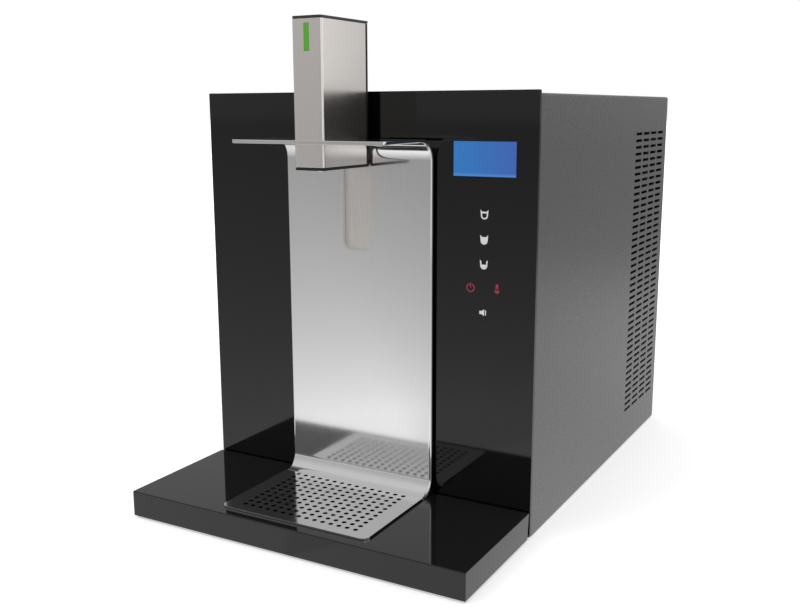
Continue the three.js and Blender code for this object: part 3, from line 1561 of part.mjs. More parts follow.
add('splash_carrier', shapeOf(makeSplashCarrier()), 0x101010, 0.6, 0.0);
add('slot_shutter', shapeOf(makeSlotShutter()), 0xb5b3af, 0.3, 1.0);
add('head_shell', shapeOf(makeHeadShell()), 0xb5b3af, 0.25, 1.0);
add('head_cap', shapeOf(makeHeadCap()), 0x3a3a3a, 0.4, 0.2);
add('head_back_cover', shapeOf(makeHeadBackCover()), 0x151515, 0.5, 0.0);
add('head_base_plate', shapeOf(makeHeadBasePlate()), 0x151515, 0.5, 0.0);
add('nozzle', shapeOf(makeNozzle()), 0xc8c8c6, 0.15, 1.0);
add('light_guide', shapeOf(makeLightGuide()), 0x5ba03a, 0.3, 0.0);
add('head_board', shapeOf(makeHeadBoard()), 0x1f5a34, 0.6, 0.0);
add('head_neck', shapeOf(makeHeadNeck()), 0x8d9094, 0.4, 0.9);
add('head_tube', shapeOf(makeHeadTube()), 0xe8e8e4, 0.5, 0.0);
add('carriage', shapeOf(makeCarriage()), 0x2b2b2b, 0.5, 0.0);
add('guide_rod_left', shapeOf(makeGuideRod(-1)), 0xc4c6c8, 0.15, 1.0);
add('guide_rod_right', shapeOf(makeGuideRod(1)), 0xc4c6c8, 0.15, 1.0);
add('rod_bracket', shapeOf(makeRodBracket()), 0x2b2b2b, 0.5, 0.0);
add('lcd_module', shapeOf(makeLcdModule()), 0x2c5f9e, 0.4, 0.2);
add('touch_board', shapeOf(makeTouchBoard()), 0x1f5a34, 0.6, 0.0);
add('control_board', shapeOf(makeControlBoard()), 0x1f5a34, 0.6, 0.0);
add('power_supply', shapeOf(makePowerSupply()), 0x9da0a3, 0.5, 0.7);
add('mains_inlet', shapeOf(makeMainsInlet()), 0x161616, 0.5, 0.0);
add('switch_rocker', shapeOf(makeSwitchRocker()), 0x1d1d1d, 0.4, 0.0);
add('water_inlet_fitting', shapeOf(makeWaterInletFitting()), 0xd8d8d4, 0.5, 0.0);
add('drain_plug', shapeOf(makeDrainPlug()), 0x202020, 0.6, 0.0);
add('tank_insulation', shapeOf(makeTankInsulation()), 0xe6e4de, 0.9, 0.0);
add('cold_tank', shapeOf(makeColdTank()), 0xc2c4c4, 0.3, 1.0);
add('evaporator_coil', shapeOf(makeEvaporatorCoil()), 0xb8734a, 0.35, 1.0);
add('tank_lid', shapeOf(makeTankLid()), 0xe6e4de, 0.9, 0.0);
add('compressor', shapeOf(makeCompressor()), 0x161616, 0.4, 0.3);
add('condenser_core', shapeOf(makeCondenserCore()), 0x2c2c2c, 0.5, 0.6);
add('fan_shroud', shapeOf(makeFanShroud()), 0x9a9da0, 0.5, 0.8);
add('fan_motor', shapeOf(makeFanMotor()), 0x3a3a3a, 0.5, 0.3);
add('fan_rotor', shapeOf(makeFanRotor()), 0x1c1c1c, 0.5, 0.0);
add('filter_drier', shapeOf(makeFilterDrier()), 0xb8734a, 0.35, 1.0);
add('discharge_line', shapeOf(makeDischargeLine()), 0xb8734a, 0.35, 1.0);
add('liquid_line', shapeOf(makeLiquidLine()), 0xb8734a, 0.35, 1.0);
add('suction_line', shapeOf(makeSuctionLine()), 0xb8734a, 0.35, 1.0);
add('water_pump', shapeOf(makeWaterPump()), 0x2a2a2a, 0.5, 0.2);
add('inlet_valve', shapeOf(makeInletValve()), 0xe0e0dc, 0.5, 0.0);
add('dispense_valve', shapeOf(makeDispenseValve()), 0xe0e0dc, 0.5, 0.0);
add('pump_hose', shapeOf(makePumpHose()), 0x3f6fb8, 0.5, 0.0);
add('tank_hose', shapeOf(makeTankHose()), 0x3f6fb8, 0.5, 0.0);
add('chilled_hose', shapeOf(makeChilledHose()), 0x3f6fb8, 0.5, 0.0);
add('head_hose', shapeOf(makeHeadHose()), 0xe8e8e4, 0.5, 0.0);

export default dispenser;
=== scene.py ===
import json
import math

import bpy
from mathutils import Matrix, Vector


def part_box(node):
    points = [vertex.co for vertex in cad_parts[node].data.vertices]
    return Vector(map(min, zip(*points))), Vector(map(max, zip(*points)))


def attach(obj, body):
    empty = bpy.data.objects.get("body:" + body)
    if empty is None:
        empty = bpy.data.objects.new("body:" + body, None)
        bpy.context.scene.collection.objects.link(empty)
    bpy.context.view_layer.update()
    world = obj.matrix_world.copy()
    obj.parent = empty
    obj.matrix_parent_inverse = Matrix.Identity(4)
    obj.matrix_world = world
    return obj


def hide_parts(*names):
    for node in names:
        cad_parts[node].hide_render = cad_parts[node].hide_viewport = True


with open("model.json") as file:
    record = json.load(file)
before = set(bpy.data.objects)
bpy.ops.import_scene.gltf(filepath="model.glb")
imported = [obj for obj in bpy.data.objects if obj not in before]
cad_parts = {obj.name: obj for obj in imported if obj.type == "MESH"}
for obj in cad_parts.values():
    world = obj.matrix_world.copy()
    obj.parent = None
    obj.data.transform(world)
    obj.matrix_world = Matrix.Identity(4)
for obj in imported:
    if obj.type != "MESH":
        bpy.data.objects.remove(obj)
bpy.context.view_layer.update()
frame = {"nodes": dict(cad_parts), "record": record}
nodes = frame["nodes"]
bpy.ops.object.select_all(action="DESELECT")

MM = 0.001
BODY_OF = {node: body for body, group in frame["record"]["behaviour"]["bodies"].items() for node in group}
SLOT_OF = {row["node"]: row["material_slot"] for row in frame["record"]["subparts"]}

# Camera, from the vanishing lines of the case, the base and the sheet
CAMERA_PLACE = Vector((0.476, -0.9237, 0.3822))
CAMERA_AZIMUTH = math.radians(29.2)
CAMERA_PITCH = math.radians(11.5)
CAMERA_ROLL = math.radians(-0.165)
CAMERA_LENS = 44.05
CAMERA_NEAR = 0.01
SENSOR_WIDTH = 36

# Sweep: where the lamps light it most, and the lift that makes the rest look white too
FLOOR_SIZE = 60
LIT_FLOOR = (-0.35, -0.25, 0)
LIT_REACH = 0.5
FAR_REACH = 2.4
LIT_LIFT = 0.45

# Sweep as mirrors see it: a pool before the base, dimmer in line with it than to its sides, and one behind
POOL = (0, -0.28, 0)
POOL_FAR = 0.33
POOL_NEAR = 0.28
POOL_CORE = 0.27
POOL_LIMIT = 0.92
AHEAD = 0.42
ASIDE = 0.6
AHEAD_SHARE = 0.86
REAR_POOL = (0.3, 0.75, 0)
REAR_CORE = 0.25
REAR_REACH = 0.95
REAR_GLOW = 0.3

# Room as all but the eye and glass see it: how bright its walls and ceiling are, and how far up each reaches
WALL_LIGHT = 0.46
CEILING_LIGHT = 0.6
WALL_TOP = 0.15
CEILING_FOOT = 0.85

# Lamps: name, place, width, height, watts, and whether mirrors see them
LAMP_TARGET = (0, 0, 0.2)
LAMPS = (
    ("front_softbox", (-1.3, -1.7, 2.1), 1.6, 1.6, 18, False),
    ("top_softbox", (0.1, 0.2, 2.4), 2.2, 2.2, 16, False),
    ("right_softbox", (2.45, 1.2, 0.9), 3.0, 1.8, 8, True),
    ("right_fill", (2.45, 1.2, 0.9), 3.0, 1.8, 2.5, False),
    ("front_strip", (1.5, -0.95, 0.5), 0.55, 1.0, 1.3, True),
)

# Display: the dark border, and the height of the paler line at its foot
DISPLAY_BORDER = 1.0 * MM
DISPLAY_FOOT = 1.8 * MM

# Symbols printed behind the glass: places on the front, from the middle and the counter
SYMBOL_SIZE = 8.4 * MM
SYMBOL_STROKE = 1.3 * MM
PRINT_LIFT = 0.05 * MM
CUP_X = 126 * MM
CUP_HEIGHTS = (292 * MM, 270 * MM, 248 * MM)
CUP_DRINKS = ((0.62, 0.8), (0.14, 0.78), (0.14, 0.5))
POWER_PLACE = (113.5 * MM, 226.5 * MM)
HEAT_PLACE = (139 * MM, 227.5 * MM)
SOUND_PLACE = (126 * MM, 205 * MM)

# Edges: how far each node that shows is eased, and the angle up to which faces are shaded as one
EASED_EDGES = {
    "splash_sheet": 0.25 * MM,
    "front_panel": 0.4 * MM,
    "base_housing": 0.4 * MM,
    "head_shell": 0.25 * MM,
    "head_cap": 0.3 * MM,
    "head_base_plate": 0.3 * MM,
    "head_back_cover": 0.3 * MM,
    "nozzle": 0.2 * MM,
    "mains_inlet": 0.3 * MM,
    "switch_rocker": 0.3 * MM,
    "water_inlet_fitting": 0.3 * MM,
    "drain_plug": 0.4 * MM,
}
SMOOTH_BELOW = math.radians(35)

# Drip grille
HOLE_COLUMNS = 15
HOLE_ROWS = 11
HOLE_PITCH = 8.45 * MM
HOLE_RADIUS = 2.25 * MM
HOLE_MARGIN = 13 * MM
HOLE_CUTS = 5
GRILLE_STEEL = 1.2 * MM
GRILLE_FRONT_CORNER = 7 * MM
GRILLE_REAR_CORNER = 0.5 * MM
GRILLE_EDGE = 1.1 * MM
HOLE_EDGE = 0.18 * MM

# Rear screws
SCREW_RADIUS = 3.6 * MM
SCREW_HEIGHT = 2.2 * MM
SCREW_ROUND = 0.88 * MM
SCREW_SLOT = 0.9 * MM
SCREW_SLOT_LENGTH = 4.32 * MM
SCREW_SLOT_DEPTH = 0.99 * MM
SCREW_SIDE = 7 * MM


# Small tools

def linear(code):
    """The linear colour of an sRGB hex value"""
    channels = [int(code[i:i + 2], 16) / 255 for i in (1, 3, 5)]
    return tuple(c / 12.92 if c <= 0.04045 else ((c + 0.055) / 1.055) ** 2.4 for c in channels) + (1.0,)


def add_node(tree, kind, inputs=None, **settings):
    """Adds a shader node, sets its properties, and fills or links its inputs"""
    made = tree.nodes.new(kind)
    for name, value in settings.items():
        setattr(made, name, value)
    for key, value in (inputs or {}).items():
        if isinstance(value, bpy.types.NodeSocket):
            tree.links.new(value, made.inputs[key])
        else:
            made.inputs[key].default_value = value
    return made


def deselect():
    bpy.ops.object.select_all(action="DESELECT")


def activate(piece):
    deselect()
    piece.select_set(True)
    bpy.context.view_layer.objects.active = piece


def edit(piece):
    activate(piece)
    bpy.ops.object.mode_set(mode="EDIT")
    bpy.ops.mesh.select_mode(type="VERT")
    bpy.ops.mesh.select_all(action="DESELECT")


def leave_edit():
    bpy.ops.object.mode_set(mode="OBJECT")


def pick(piece, kind, test):
    """Selects the vertices, edges or faces whose every corner passes the test, in edit mode"""
    bpy.ops.mesh.select_mode(type=kind)
    bpy.ops.mesh.select_all(action="DESELECT")
    bpy.ops.object.mode_set(mode="OBJECT")
    mesh = piece.data
    chosen = [test(corner.co) for corner in mesh.vertices]
    if kind == "VERT":
        for corner, keep in zip(mesh.vertices, chosen):
            corner.select = keep
    else:
        for part in mesh.edges if kind == "EDGE" else mesh.polygons:
            part.select = all(chosen[i] for i in part.vertices)
    bpy.ops.object.mode_set(mode="EDIT")


def apply_modifier(piece, kind, **settings):
    activate(piece)
    bpy.ops.object.modifier_add(type=kind)
    modifier = piece.modifiers[-1]
    for name, value in settings.items():
        setattr(modifier, name, value)
    bpy.ops.object.modifier_apply(modifier=modifier.name)


def settle(piece, name, material, body, replaced=()):
    """Names a finished piece, puts its place into its mesh, and seats it on its body"""
    activate(piece)
    bpy.ops.object.transform_apply(location=True, rotation=True, scale=True)
    piece.name = name
    piece.data.name = name
    piece.data.materials.clear()
    piece.data.materials.append(material)
    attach(piece, body)
    for node in replaced:
        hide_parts(node)
    return piece


def join_pieces(pieces):
    deselect()
    for piece in pieces:
        piece.select_set(True)
    bpy.context.view_layer.objects.active = pieces[0]
    bpy.ops.object.join()
    return pieces[0]


# Camera, floor and light

def make_camera():
    forward = Vector((-math.sin(CAMERA_AZIMUTH) * math.cos(CAMERA_PITCH),
                      math.cos(CAMERA_AZIMUTH) * math.cos(CAMERA_PITCH), -math.sin(CAMERA_PITCH)))
    level = forward.cross(Vector((0, 0, 1))).normalized()
    upright = level.cross(forward)
    right = level * math.cos(CAMERA_ROLL) + upright * math.sin(CAMERA_ROLL)
    up = upright * math.cos(CAMERA_ROLL) - level * math.sin(CAMERA_ROLL)
    turn = Matrix((right, up, -forward)).transposed().to_4x4()
    bpy.ops.object.camera_add()
    camera = bpy.context.object
    camera.name = "camera"
    camera.matrix_world = Matrix.Translation(CAMERA_PLACE) @ turn
    camera.data.lens = CAMERA_LENS
    camera.data.sensor_width = SENSOR_WIDTH
    camera.data.clip_start = CAMERA_NEAR
    bpy.context.scene.camera = camera


def make_floor():
    """A white sweep: pure white to the eye; mirrors see a pool of light in front and one behind"""
    bpy.ops.mesh.primitive_plane_add(size=FLOOR_SIZE)
    floor = bpy.context.object
    floor.name = "floor"
    material = bpy.data.materials.new("white_studio_sweep")
    material.use_nodes = True
    tree = material.node_tree
    tree.nodes.clear()
    place = add_node(tree, "ShaderNodeTexCoord").outputs["Object"]
    offset = add_node(tree, "ShaderNodeVectorMath", {0: place, 1: LIT_FLOOR}, operation="DISTANCE")
    reach = offset.outputs["Value"]
    seen = add_node(tree, "ShaderNodeLightPath")
    far = add_node(tree, "ShaderNodeMapRange", {"Value": reach, "From Min": LIT_REACH, "From Max": FAR_REACH,
                                                "To Min": LIT_LIFT, "To Max": 1.0},
                   interpolation_type="SMOOTHSTEP")
    lift = add_node(tree, "ShaderNodeMath", {0: far.outputs["Result"], 1: seen.outputs["Is Camera Ray"]},
                    operation="MULTIPLY")
    white = add_node(tree, "ShaderNodeBsdfDiffuse", {"Color": linear("#f0f0f0")})
    light = add_node(tree, "ShaderNodeEmission", {"Strength": lift.outputs["Value"]})
    direct = add_node(tree, "ShaderNodeAddShader", {0: white.outputs["BSDF"], 1: light.outputs["Emission"]})
    away = add_node(tree, "ShaderNodeVectorMath", {0: place, 1: POOL}, operation="SUBTRACT").outputs["Vector"]
    span = add_node(tree, "ShaderNodeVectorMath", {0: away}, operation="LENGTH").outputs["Value"]
    spread = add_node(tree, "ShaderNodeMath", {0: span, 1: POOL_CORE}, operation="ADD")
    near = add_node(tree, "ShaderNodeMath", {0: POOL_NEAR, 1: spread.outputs["Value"]}, operation="DIVIDE")
    bright = add_node(tree, "ShaderNodeMath", {0: near.outputs["Value"], 1: POOL_FAR}, operation="ADD")
    pool = add_node(tree, "ShaderNodeMath", {0: bright.outputs["Value"], 1: POOL_LIMIT}, operation="MINIMUM")
    way = add_node(tree, "ShaderNodeVectorMath", {0: away}, operation="NORMALIZE").outputs["Vector"]
    across = add_node(tree, "ShaderNodeSeparateXYZ", {"Vector": way}).outputs["X"]
    off_middle = add_node(tree, "ShaderNodeMath", {0: across}, operation="ABSOLUTE")
    side = add_node(tree, "ShaderNodeMapRange", {"Value": off_middle.outputs["Value"], "From Min": AHEAD,
                                                 "From Max": ASIDE, "To Min": AHEAD_SHARE, "To Max": 1.0})
    level = add_node(tree, "ShaderNodeMath", {0: pool.outputs["Value"], 1: side.outputs["Result"]},
                     operation="MULTIPLY")
    behind = add_node(tree, "ShaderNodeVectorMath", {0: place, 1: REAR_POOL}, operation="DISTANCE")
    glow = add_node(tree, "ShaderNodeMapRange", {"Value": behind.outputs["Value"], "From Min": REAR_CORE,
                                                 "From Max": REAR_REACH, "To Min": REAR_GLOW, "To Max": 0.0})
    total = add_node(tree, "ShaderNodeMath", {0: level.outputs["Value"], 1: glow.outputs["Result"]},
                     operation="ADD")
    mirrored = add_node(tree, "ShaderNodeEmission", {"Strength": total.outputs["Value"]})
    both = add_node(tree, "ShaderNodeMixShader", {0: seen.outputs["Is Glossy Ray"],
                                                  1: direct.outputs["Shader"],
                                                  2: mirrored.outputs["Emission"]})
    add_node(tree, "ShaderNodeOutputMaterial", {"Surface": both.outputs["Shader"]})
    floor.data.materials.append(material)


def make_world():
    """White to the eye and through glass; a grey room under a slightly paler ceiling for all else"""
    world = bpy.data.worlds.new("grey_room")
    bpy.context.scene.world = world
    world.use_nodes = True
    tree = world.node_tree
    tree.nodes.clear()
    seen = add_node(tree, "ShaderNodeLightPath")
    clear = add_node(tree, "ShaderNodeMath", {0: seen.outputs["Is Camera Ray"],
                                              1: seen.outputs["Is Transmission Ray"]}, operation="MAXIMUM")
    way = add_node(tree, "ShaderNodeTexCoord").outputs["Generated"]
    height = add_node(tree, "ShaderNodeSeparateXYZ", {"Vector": way}).outputs["Z"]
    room = add_node(tree, "ShaderNodeMapRange", {"Value": height, "From Min": WALL_TOP,
                                                 "From Max": CEILING_FOOT, "To Min": WALL_LIGHT,
                                                 "To Max": CEILING_LIGHT},
                    interpolation_type="SMOOTHSTEP").outputs["Result"]
    level = add_node(tree, "ShaderNodeMix", {"Factor": clear.outputs["Value"], "A": room, "B": 1.0},
                     data_type="FLOAT")
    back = add_node(tree, "ShaderNodeBackground", {"Color": (1, 1, 1, 1), "Strength": level.outputs[0]})
    add_node(tree, "ShaderNodeOutputWorld", {"Surface": back.outputs["Background"]})


def make_lamps():
    for name, place, width, height, power, mirrored in LAMPS:
        bpy.ops.object.light_add(type="AREA", location=place)
        lamp = bpy.context.object
        lamp.name = name
        lamp.rotation_euler = (Vector(LAMP_TARGET) - Vector(place)).to_track_quat("-Z", "Y").to_euler()
        lamp.data.shape = "RECTANGLE"
        lamp.data.size = width
        lamp.data.size_y = height
        lamp.data.energy = power
        lamp.visible_glossy = mirrored


# Materials

def start(name, **constants):
    """A new principled material: its tree, its shader and the object's own coordinates"""
    material = bpy.data.materials.new(name)
    material.use_nodes = True
    tree = material.node_tree
    tree.nodes.clear()
    shader = add_node(tree, "ShaderNodeBsdfPrincipled", constants)
    add_node(tree, "ShaderNodeOutputMaterial", {"Surface": shader.outputs["BSDF"]})
    place = add_node(tree, "ShaderNodeTexCoord").outputs["Object"]
    return material, tree, shader, place


def mottle(tree, shader, place, colours, roughness, size, stretch=(1, 1, 1), relief=0.0):
    """Drives colour, roughness and relief by one noise whose grains are size metres across. One colour given
    twice is the same all over, so it goes on the shader itself"""
    turned = add_node(tree, "ShaderNodeMapping", {"Vector": place, "Scale": stretch}).outputs["Vector"]
    noise = add_node(tree, "ShaderNodeTexNoise", {"Vector": turned, "Scale": 1 / size, "Detail": 3.0})
    grain = noise.outputs["Fac"]
    if colours[0] == colours[1]:
        shader.inputs["Base Color"].default_value = linear(colours[0])
    else:
        tint = add_node(tree, "ShaderNodeMix", {"Factor": grain, "A": linear(colours[0]),
                                                "B": linear(colours[1])}, data_type="RGBA")
        tree.links.new(tint.outputs[2], shader.inputs["Base Color"])
    rough = add_node(tree, "ShaderNodeMapRange", {"Value": grain, "From Min": 0.25, "From Max": 0.75,
                                                  "To Min": roughness[0], "To Max": roughness[1]})
    tree.links.new(rough.outputs["Result"], shader.inputs["Roughness"])
    if relief:
        bump = add_node(tree, "ShaderNodeBump", {"Height": grain, "Distance": relief, "Strength": 1.0})
        tree.links.new(bump.outputs["Normal"], shader.inputs["Normal"])


def powder_coated_steel():
    """Satin grey powder coat baked on sheet steel: a very fine orange peel that spreads reflections"""
    material, tree, shader, place = start("powder_coated_steel", **{"IOR": 1.5})
    mottle(tree, shader, place, ("#4e4e4f", "#525253"), (0.25, 0.29), 0.9 * MM, relief=0.0025 * MM)
    return material


def back_printed_glass():
    """Tempered glass printed black behind: deep black under a polished face, with faint wiping marks"""
    material, tree, shader, place = start("back_printed_tempered_glass", **{"IOR": 1.52})
    mottle(tree, shader, place, ("#070708", "#0a0a0b"), (0.045, 0.075), 60 * MM)
    return material


def lit_display_window():
    """Clear window over a blue backlit display: bright field, paler left and foot, dark blue border"""
    material, tree, shader, place = start("backlit_blue_display", **{"Roughness": 0.06, "IOR": 1.49})
    low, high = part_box("display_window")
    axes = add_node(tree, "ShaderNodeSeparateXYZ", {"Vector": place})
    across = add_node(tree, "ShaderNodeMapRange", {"Value": axes.outputs["X"], "From Min": low.x,
                                                   "From Max": high.x})
    field = add_node(tree, "ShaderNodeMix", {"Factor": across.outputs["Result"], "A": linear("#2f7dc8"),
                                             "B": linear("#4068b8")}, data_type="RGBA")
    foot = add_node(tree, "ShaderNodeMapRange", {"Value": axes.outputs["Z"],
                                                 "From Min": low.z + 2 * DISPLAY_FOOT,
                                                 "From Max": low.z + DISPLAY_FOOT, "To Max": 0.6})
    glow = add_node(tree, "ShaderNodeMix", {"Factor": foot.outputs["Result"], "A": field.outputs[2],
                                            "B": linear("#5a9be0")}, data_type="RGBA")
    middle = (low + high) / 2
    edges = []
    for axis, centre, half in (("X", middle.x, (high.x - low.x) / 2), ("Z", middle.z, (high.z - low.z) / 2)):
        offset = add_node(tree, "ShaderNodeMath", {0: axes.outputs[axis], 1: centre}, operation="SUBTRACT")
        reach = add_node(tree, "ShaderNodeMath", {0: offset.outputs["Value"]}, operation="ABSOLUTE")
        edges.append(add_node(tree, "ShaderNodeMapRange", {"Value": reach.outputs["Value"],
                                                           "From Min": half - DISPLAY_BORDER,
                                                           "From Max": half - DISPLAY_BORDER / 2}))
    border = add_node(tree, "ShaderNodeMath", {0: edges[0].outputs["Result"], 1: edges[1].outputs["Result"]},
                      operation="MAXIMUM")
    colour = add_node(tree, "ShaderNodeMix", {"Factor": border.outputs["Value"], "A": glow.outputs[2],
                                              "B": linear("#06162e")}, data_type="RGBA")
    # The backlight shines forwards only, so steel beside it hardly mirrors it
    seen = add_node(tree, "ShaderNodeLightPath")
    sent = add_node(tree, "ShaderNodeMix", {"Factor": seen.outputs["Is Glossy Ray"], "A": colour.outputs[2],
                                            "B": linear("#06162e")}, data_type="RGBA")
    tree.links.new(sent.outputs[2], shader.inputs["Emission Color"])
    shader.inputs["Emission Strength"].default_value = 0.85
    shader.inputs["Base Color"].default_value = linear("#050a14")
    return material


def zinc_coated_steel():
    """Hot dip zinc on steel sheet: dull crystals some millimetres across"""
    material, tree, shader, place = start("zinc_coated_steel", **{"Metallic": 1.0})
    cells = add_node(tree, "ShaderNodeTexVoronoi", {"Vector": place, "Scale": 1 / (7 * MM)})
    tint = add_node(tree, "ShaderNodeMix", {"Factor": cells.outputs["Color"], "A": linear("#8f9497"),
                                            "B": linear("#b3b7b9")}, data_type="RGBA")
    tree.links.new(tint.outputs[2], shader.inputs["Base Color"])
    shade = add_node(tree, "ShaderNodeMapRange", {"Value": cells.outputs["Distance"], "From Max": 0.8,
                                                  "To Min": 0.38, "To Max": 0.52})
    tree.links.new(shade.outputs["Result"], shader.inputs["Roughness"])
    return material


def black_powder_coat():
    """Black powder coat baked on sheet steel: dull, and its pebbled grain breaks up highlights. The grain is
    drawn 1.2 mm across, coarser than a real one, so that it shows"""
    material, tree, shader, place = start("black_powder_coated_steel")
    mottle(tree, shader, place, ("#1a1a1b", "#202021"), (0.42, 0.52), 1.2 * MM, relief=0.015 * MM)
    return material


def bright_rolled_stainless():
    """Bright rolled stainless sheet: near mirror, with a faint rolling grain up and down the sheet. Its lines
    are drawn 1.5 mm apart, coarser than real ones, so that they show"""
    material, tree, shader, place = start("bright_rolled_stainless", **{"Metallic": 1.0})
    mottle(tree, shader, place, ("#ededed", "#f2f2f2"), (0.085, 0.115), 1.5 * MM, stretch=(1, 0.04, 0.04))
    return material


def brushed_stainless():
    """Stainless with a fine upright brushing: reflections smear across the grain. Its lines are drawn 0.9 mm
    apart, coarser than real ones, so that they show"""
    material, tree, shader, place = start("fine_brushed_stainless", **{"Metallic": 1.0})
    mottle(tree, shader, place, ("#f0eae5", "#f6f1ed"), (0.2, 0.27), 0.9 * MM, stretch=(1, 1, 0.03),
           relief=0.004 * MM)
    return material


def moulded_rubber():
    """Moulded black rubber: matt, with a dusty bloom"""
    material, tree, shader, place = start("moulded_rubber")
    mottle(tree, shader, place, ("#141414", "#1d1d1c"), (0.75, 0.9), 1.5 * MM, relief=0.03 * MM)
    return material


def gloss_abs():
    """High gloss black ABS from a polished mould: almost a mirror at low angles, very faint ripples"""
    material, tree, shader, place = start("high_gloss_black_abs", **{"IOR": 1.5})
    mottle(tree, shader, place, ("#161617", "#19191a"), (0.035, 0.06), 40 * MM)
    return material


def textured_abs():
    """Black ABS from a spark eroded mould: fine matt texture, drawn 0.8 mm across, coarser than a real one,
    so that it shows"""
    material, tree, shader, place = start("eroded_black_abs")
    mottle(tree, shader, place, ("#101010", "#171717"), (0.5, 0.62), 0.8 * MM, relief=0.02 * MM)
    return material


def satin_cap_abs():
    """Dark ABS from a satin mould: soft highlights and no clear reflections"""
    material, tree, shader, place = start("satin_dark_abs")
    mottle(tree, shader, place, ("#2d2d2e", "#343435"), (0.32, 0.42), 0.9 * MM, relief=0.008 * MM)
    return material


def white_acetal():
    """Moulded white acetal: waxy, lets a little light in"""
    material, tree, shader, place = start("moulded_white_acetal", **{"Subsurface Weight": 0.1,
                                                                    "Subsurface Scale": 1.5 * MM})
    mottle(tree, shader, place, ("#dcdcd6", "#e4e4df"), (0.38, 0.48), 4 * MM)
    return material


def lit_acrylic():
    """Frosted acrylic light bar, lit green from behind"""
    material, tree, shader, place = start("frosted_acrylic_lit_green", **{"Emission Color": linear("#4d962f"),
                                                                          "Emission Strength": 0.8})
    mottle(tree, shader, place, ("#245414", "#2b6119"), (0.3, 0.4), 1.5 * MM)
    return material


def circuit_board():
    """Glass epoxy board: green solder mask with slightly paler tracks under it"""
    material, tree, shader, place = start("green_solder_mask")
    grid = add_node(tree, "ShaderNodeTexBrick", {"Vector": place, "Scale": 1 / (9 * MM),
                                                 "Color1": linear("#1c5a30"), "Color2": linear("#226838"),
                                                 "Mortar": linear("#2f7d48"), "Mortar Size": 0.03})
    tree.links.new(grid.outputs["Color"], shader.inputs["Base Color"])
    shader.inputs["Roughness"].default_value = 0.38
    return material


def plated_brass():
    """Chrome plated brass, turned and polished: a clear cool mirror, slightly clouded"""
    material, tree, shader, place = start("chrome_plated_brass", **{"Metallic": 1.0})
    mottle(tree, shader, place, ("#d2d4d6", "#dcdee0"), (0.05, 0.09), 6 * MM)
    return material


def ground_steel():
    """Ground and chromed guide rod: faint rings around the rod, drawn 0.8 mm apart, coarser than real ones,
    so that they show"""
    material, tree, shader, place = start("ground_chromed_rod", **{"Metallic": 1.0})
    mottle(tree, shader, place, ("#bfc1c3", "#c9cbcd"), (0.1, 0.16), 0.8 * MM, stretch=(0.05, 0.05, 1))
    return material


def enamelled_can():
    """Black baked enamel on a deep drawn steel can: a soft gloss with slight unevenness"""
    material, tree, shader, place = start("black_baked_enamel", **{"Coat Weight": 0.4,
                                                                   "Coat Roughness": 0.15})
    mottle(tree, shader, place, ("#0e0e0f", "#151516"), (0.3, 0.42), 3 * MM, relief=0.02 * MM)
    return material


def drawn_copper():
    """Drawn copper tube: a warm satin metal, slightly browned in patches"""
    material, tree, shader, place = start("drawn_copper", **{"Metallic": 1.0})
    mottle(tree, shader, place, ("#b06a43", "#c8835a"), (0.24, 0.38), 12 * MM)
    return material


def coated_fins():
    """Black coated aluminium fins: dark, with a dull sheen"""
    material, tree, shader, place = start("black_coated_aluminium", **{"Metallic": 0.6})
    mottle(tree, shader, place, ("#1c1c1d", "#282829"), (0.42, 0.55), 3 * MM)
    return material


def foam_with_painted_groove_shade():
    """Expanded polystyrene: round beads about 3 mm across pressed together. Each bead darkens towards its
    edge:
    painted shade in the grooves between beads
    """
    material, tree, shader, place = start("expanded_polystyrene_painted_groove_shade")
    beads = add_node(tree, "ShaderNodeTexVoronoi", {"Vector": place, "Scale": 1 / (3 * MM)})
    # Painted shade: the colour darkens from each bead's middle to its edge, where the grooves between beads
    # lie
    tint = add_node(tree, "ShaderNodeMix", {"Factor": beads.outputs["Distance"], "A": linear("#eeece6"),
                                            "B": linear("#d6d3cb")}, data_type="RGBA")
    tree.links.new(tint.outputs[2], shader.inputs["Base Color"])
    bump = add_node(tree, "ShaderNodeBump", {"Height": beads.outputs["Distance"], "Distance": 0.1 * MM,
                                             "Strength": 1.0}, invert=True)
    tree.links.new(bump.outputs["Normal"], shader.inputs["Normal"])
    shader.inputs["Roughness"].default_value = 0.85
    return material


def drawn_stainless():
    """Deep drawn stainless vessel: satin, with faint drawing lines up the wall, 2 mm apart so that they
    show"""
    material, tree, shader, place = start("deep_drawn_stainless", **{"Metallic": 1.0})
    mottle(tree, shader, place, ("#b9bbbb", "#c5c7c7"), (0.28, 0.36), 2 * MM, stretch=(1, 1, 0.05))
    return material


def polyethylene_hose():
    """Extruded blue polyethylene hose: smooth and waxy, lets a little light in"""
    material, tree, shader, place = start("blue_polyethylene", **{"Subsurface Weight": 0.05,
                                                                 "Subsurface Scale": 1.0 * MM})
    mottle(tree, shader, place, ("#2c5fae", "#3468b8"), (0.34, 0.42), 5 * MM)
    return material


def symbol_print(name, colour, strength):
    """Window in the black print, lit from behind by a small lamp: an even glow under the polished glass"""
    material, tree, shader, place = start(name, **{"Emission Color": linear(colour),
                                                   "Emission Strength": strength})
    mottle(tree, shader, place, (colour, colour), (0.18, 0.24), 3 * MM)
    return material


def zinc_plated_screw():
    """Zinc plated steel: pale grey, its gloss a little cloudy"""
    material, tree, shader, place = start("zinc_plated_screw", **{"Metallic": 1.0})
    mottle(tree, shader, place, ("#a4a7a9", "#b6b8b9"), (0.28, 0.4), 1 * MM)
    return material


